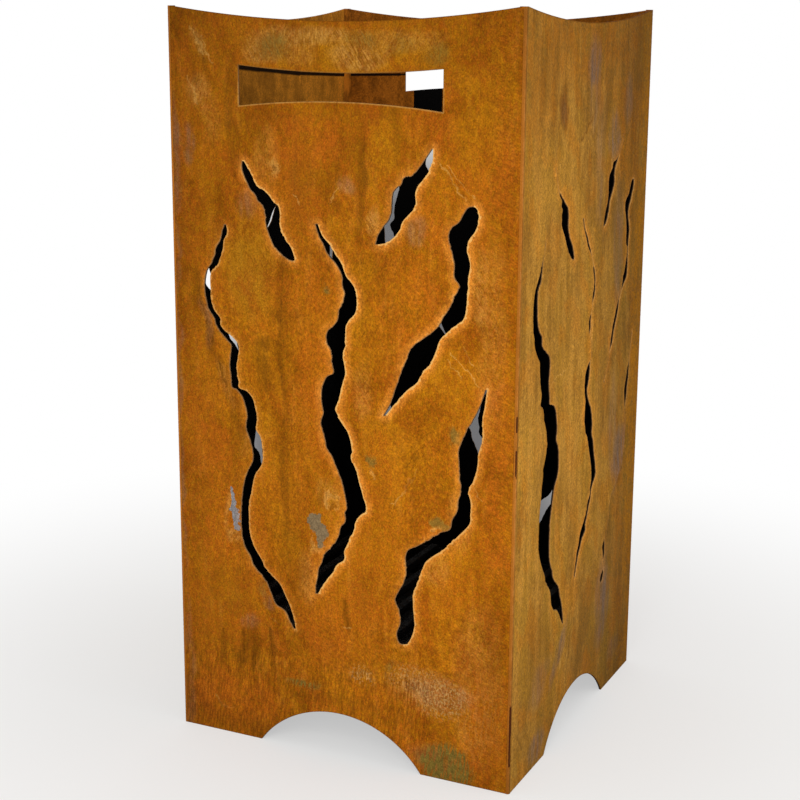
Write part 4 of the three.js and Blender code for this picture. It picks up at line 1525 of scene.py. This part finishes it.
class BARREL_OT_grate(bpy.types.Operator):
    """Make the grate's bars, rails and feet"""
    bl_idname = "barrel.make_grate"
    bl_label = "Fire grate"

    def execute(self, context):
        settings = context.scene.barrel_inside
        material = inside_material("heated_bar", settings, ashy=0.3, rusty=0.5)
        tree = bar_tree()
        for name, start, axis, steps in GRATE_PIECES:
            nodes = nodes_named(start)
            boxes = [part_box(node) for node in nodes]
            size = boxes[0][1] - boxes[0][0]
            points = bpy.data.meshes.new(name)
            points.from_pydata([(low + high) / 2 for low, high in boxes], [], [])
            values = {
                "Length": size[axis], "Size": size[(axis + 1) % 3], "Corner": settings.bar_corner,
                "Turn": BAR_TURNS[axis], "Steps": steps, "Warp": settings.bar_warp,
            }
            mesh = bumped_out(name, points, tree, values, material)
            smoothed(mesh, PIECE_SHARP)
            place_piece(name, mesh, "grate", nodes, material)
        return {"FINISHED"}


# Stage

def seen_directly(nodes):
    """1 for rays that show the surroundings: from the camera, and by reflection or through glass."""
    path = nodes.add("ShaderNodeLightPath").outputs
    seen = nodes.math("ADD", path["Is Camera Ray"], path["Is Glossy Ray"], clamp=True)
    return nodes.math("ADD", seen, path["Is Transmission Ray"], clamp=True)


# The floor turns to plain white between these distances from the barrel's middle
WHITE_REACH = (0.3, 1.1)

# Where the long soft shadow, painted on the floor and not cast by the lamps, begins and is full: its left
# and right sides as slopes seen from the camera's foot and as distances from the line of sight, and its near
# and far ends behind the barrel
SHADOW_SLOPES = ((-0.155, -0.1), (0.138, 0.088))
SHADOW_SIDES = ((-0.8, -0.42), (0.48, 0.16))
SHADOW_ENDS = ((0.1, 0.65), (13.0, 4.5))


def floor_material(settings):
    """A pale floor that keeps the barrel's cast shadow, has a long soft shadow painted behind it, and fades
    to white.
    """
    finish = Finish("pale_floor", 0.9, 0.1)
    foot = Vector(settings.camera_place)
    foot.z = 0
    gap = finish.vector_math("SUBTRACT", finish.place, foot)
    distance = finish.vector_math("DOT_PRODUCT", gap, -foot.normalized())
    to_right = finish.vector_math("DOT_PRODUCT", gap, Vector((-foot.y, foot.x, 0)).normalized())
    spread = finish.math("DIVIDE", to_right, distance)
    behind = finish.math("SUBTRACT", distance, foot.length)
    shadow = 1.0
    for number, edges in ((spread, SHADOW_SLOPES), (to_right, SHADOW_SIDES), (behind, SHADOW_ENDS)):
        for begins, full in edges:
            shadow = finish.mul(shadow, finish.band(number, begins, full))
    finish.join(finish.blend(shadow, settings.floor, settings.shadow), finish.surface.inputs["Base Color"])

    reach = finish.vector_math("LENGTH", finish.place)
    white = finish.mul(finish.band(reach, *WHITE_REACH, settings.near_white, 1.0), finish.rest(shadow))
    mixed = finish.add("ShaderNodeMixShader")
    glow = finish.add("ShaderNodeEmission").outputs[0]
    sources = (finish.mul(white, seen_directly(finish)), finish.surface.outputs[0], glow)
    for source, socket in zip(sources, mixed.inputs):
        finish.join(source, socket)
    finish.join(mixed.outputs[0], finish.output.inputs["Surface"])
    return finish.material


# Where the two lamps stand, and the side of each
KEY_PLACE = (0.9, -3.2, 2.3)
FILL_PLACE = (3.0, 0.2, 1.6)
LAMP_SIZE = 2.0


def area_lamp(name, place, power):
    """A square lamp that points at the barrel's middle."""
    lamp = bpy.data.lights.new(name, "AREA")
    lamp.shape = "SQUARE"
    lamp.size = LAMP_SIZE
    lamp.energy = power
    thing = bpy.data.objects.new(name, lamp)
    thing.location = place
    thing.rotation_euler = (UP * (HEIGHT / 2) - Vector(place)).to_track_quat("-Z", "Y").to_euler()
    bpy.context.scene.collection.objects.link(thing)


class BARREL_OT_stage(bpy.types.Operator):
    """Set up the floor, the lights and the camera"""
    bl_idname = "barrel.make_stage"
    bl_label = "Stage"

    def execute(self, context):
        settings = context.scene.barrel_stage
        scene = context.scene
        scene.view_settings.view_transform = "Standard"

        half = settings.floor_size / 2
        mesh = bpy.data.meshes.new("floor")
        corners = [(-half, -half, 0), (half, -half, 0), (half, half, 0), (-half, half, 0)]
        mesh.from_pydata(corners, [], [(0, 1, 2, 3)])
        mesh.materials.append(floor_material(settings))
        floor = bpy.data.objects.new("floor", mesh)
        scene.collection.objects.link(floor)

        world = bpy.data.worlds.new("sky")
        world.use_nodes = True
        scene.world = world
        sky = Nodes(world.node_tree)
        background = sky.tree.nodes["Background"]
        strength = sky.lerp(seen_directly(sky), settings.sky_strength, 1.0)
        sky.join(strength, background.inputs["Strength"])
        sky.join((1, 1, 1), background.inputs["Color"])
        area_lamp("key", KEY_PLACE, settings.key_power)
        area_lamp("fill", FILL_PLACE, settings.fill_power)

        camera = bpy.data.cameras.new("camera")
        camera.lens = settings.lens
        camera.shift_y = settings.shift
        viewer = bpy.data.objects.new("camera", camera)
        pitch, roll, turn = settings.camera_turn
        level = Matrix.Rotation(turn, 4, "Z") @ Matrix.Rotation(math.pi / 2 + pitch, 4, "X")
        aim = level @ Matrix.Rotation(roll, 4, "Z")
        viewer.matrix_world = Matrix.Translation(settings.camera_place) @ aim
        scene.collection.objects.link(viewer)
        scene.camera = viewer
        return {"FINISHED"}


class BARREL_PT_parts(bpy.types.Panel):
    """Lists the barrel's pieces"""
    bl_idname = "BARREL_PT_parts"
    bl_label = "Fire Barrel"
    bl_space_type = "VIEW_3D"
    bl_region_type = "UI"
    bl_category = "Fire Barrel"

    def draw(self, context):
        for operator in OPERATORS:
            self.layout.operator(operator.bl_idname)
        for name in SETTINGS:
            group = getattr(context.scene, name)
            box = self.layout.box()
            box.label(text=group.bl_rna.description)
            for key in group.bl_rna.properties.keys():
                if key not in ("rna_type", "name"):
                    box.prop(group, key)


OPERATORS = (
    BARREL_OT_stage, BARREL_OT_plates, BARREL_OT_welds, BARREL_OT_ledges, BARREL_OT_ash_pan, BARREL_OT_grate,
)
SETTINGS = {
    "barrel_plates": BarrelPlateSettings,
    "barrel_welds": BarrelWeldSettings,
    "barrel_inside": BarrelInsideSettings,
    "barrel_stage": BarrelStageSettings,
}


def register():
    for group in (*SETTINGS.values(), *OPERATORS, BARREL_PT_parts):
        bpy.utils.register_class(group)
    for name, group in SETTINGS.items():
        setattr(bpy.types.Scene, name, bpy.props.PointerProperty(type=group))


def unregister():
    for name in SETTINGS:
        delattr(bpy.types.Scene, name)
    for group in reversed((*SETTINGS.values(), *OPERATORS, BARREL_PT_parts)):
        bpy.utils.unregister_class(group)


def main():
    register()
    bpy.ops.barrel.make_stage()
    bpy.ops.barrel.make_plates()
    bpy.ops.barrel.make_welds()
    bpy.ops.barrel.make_ledges()
    bpy.ops.barrel.make_ash_pan()
    bpy.ops.barrel.make_grate()


if __name__ == "__main__":
    main()
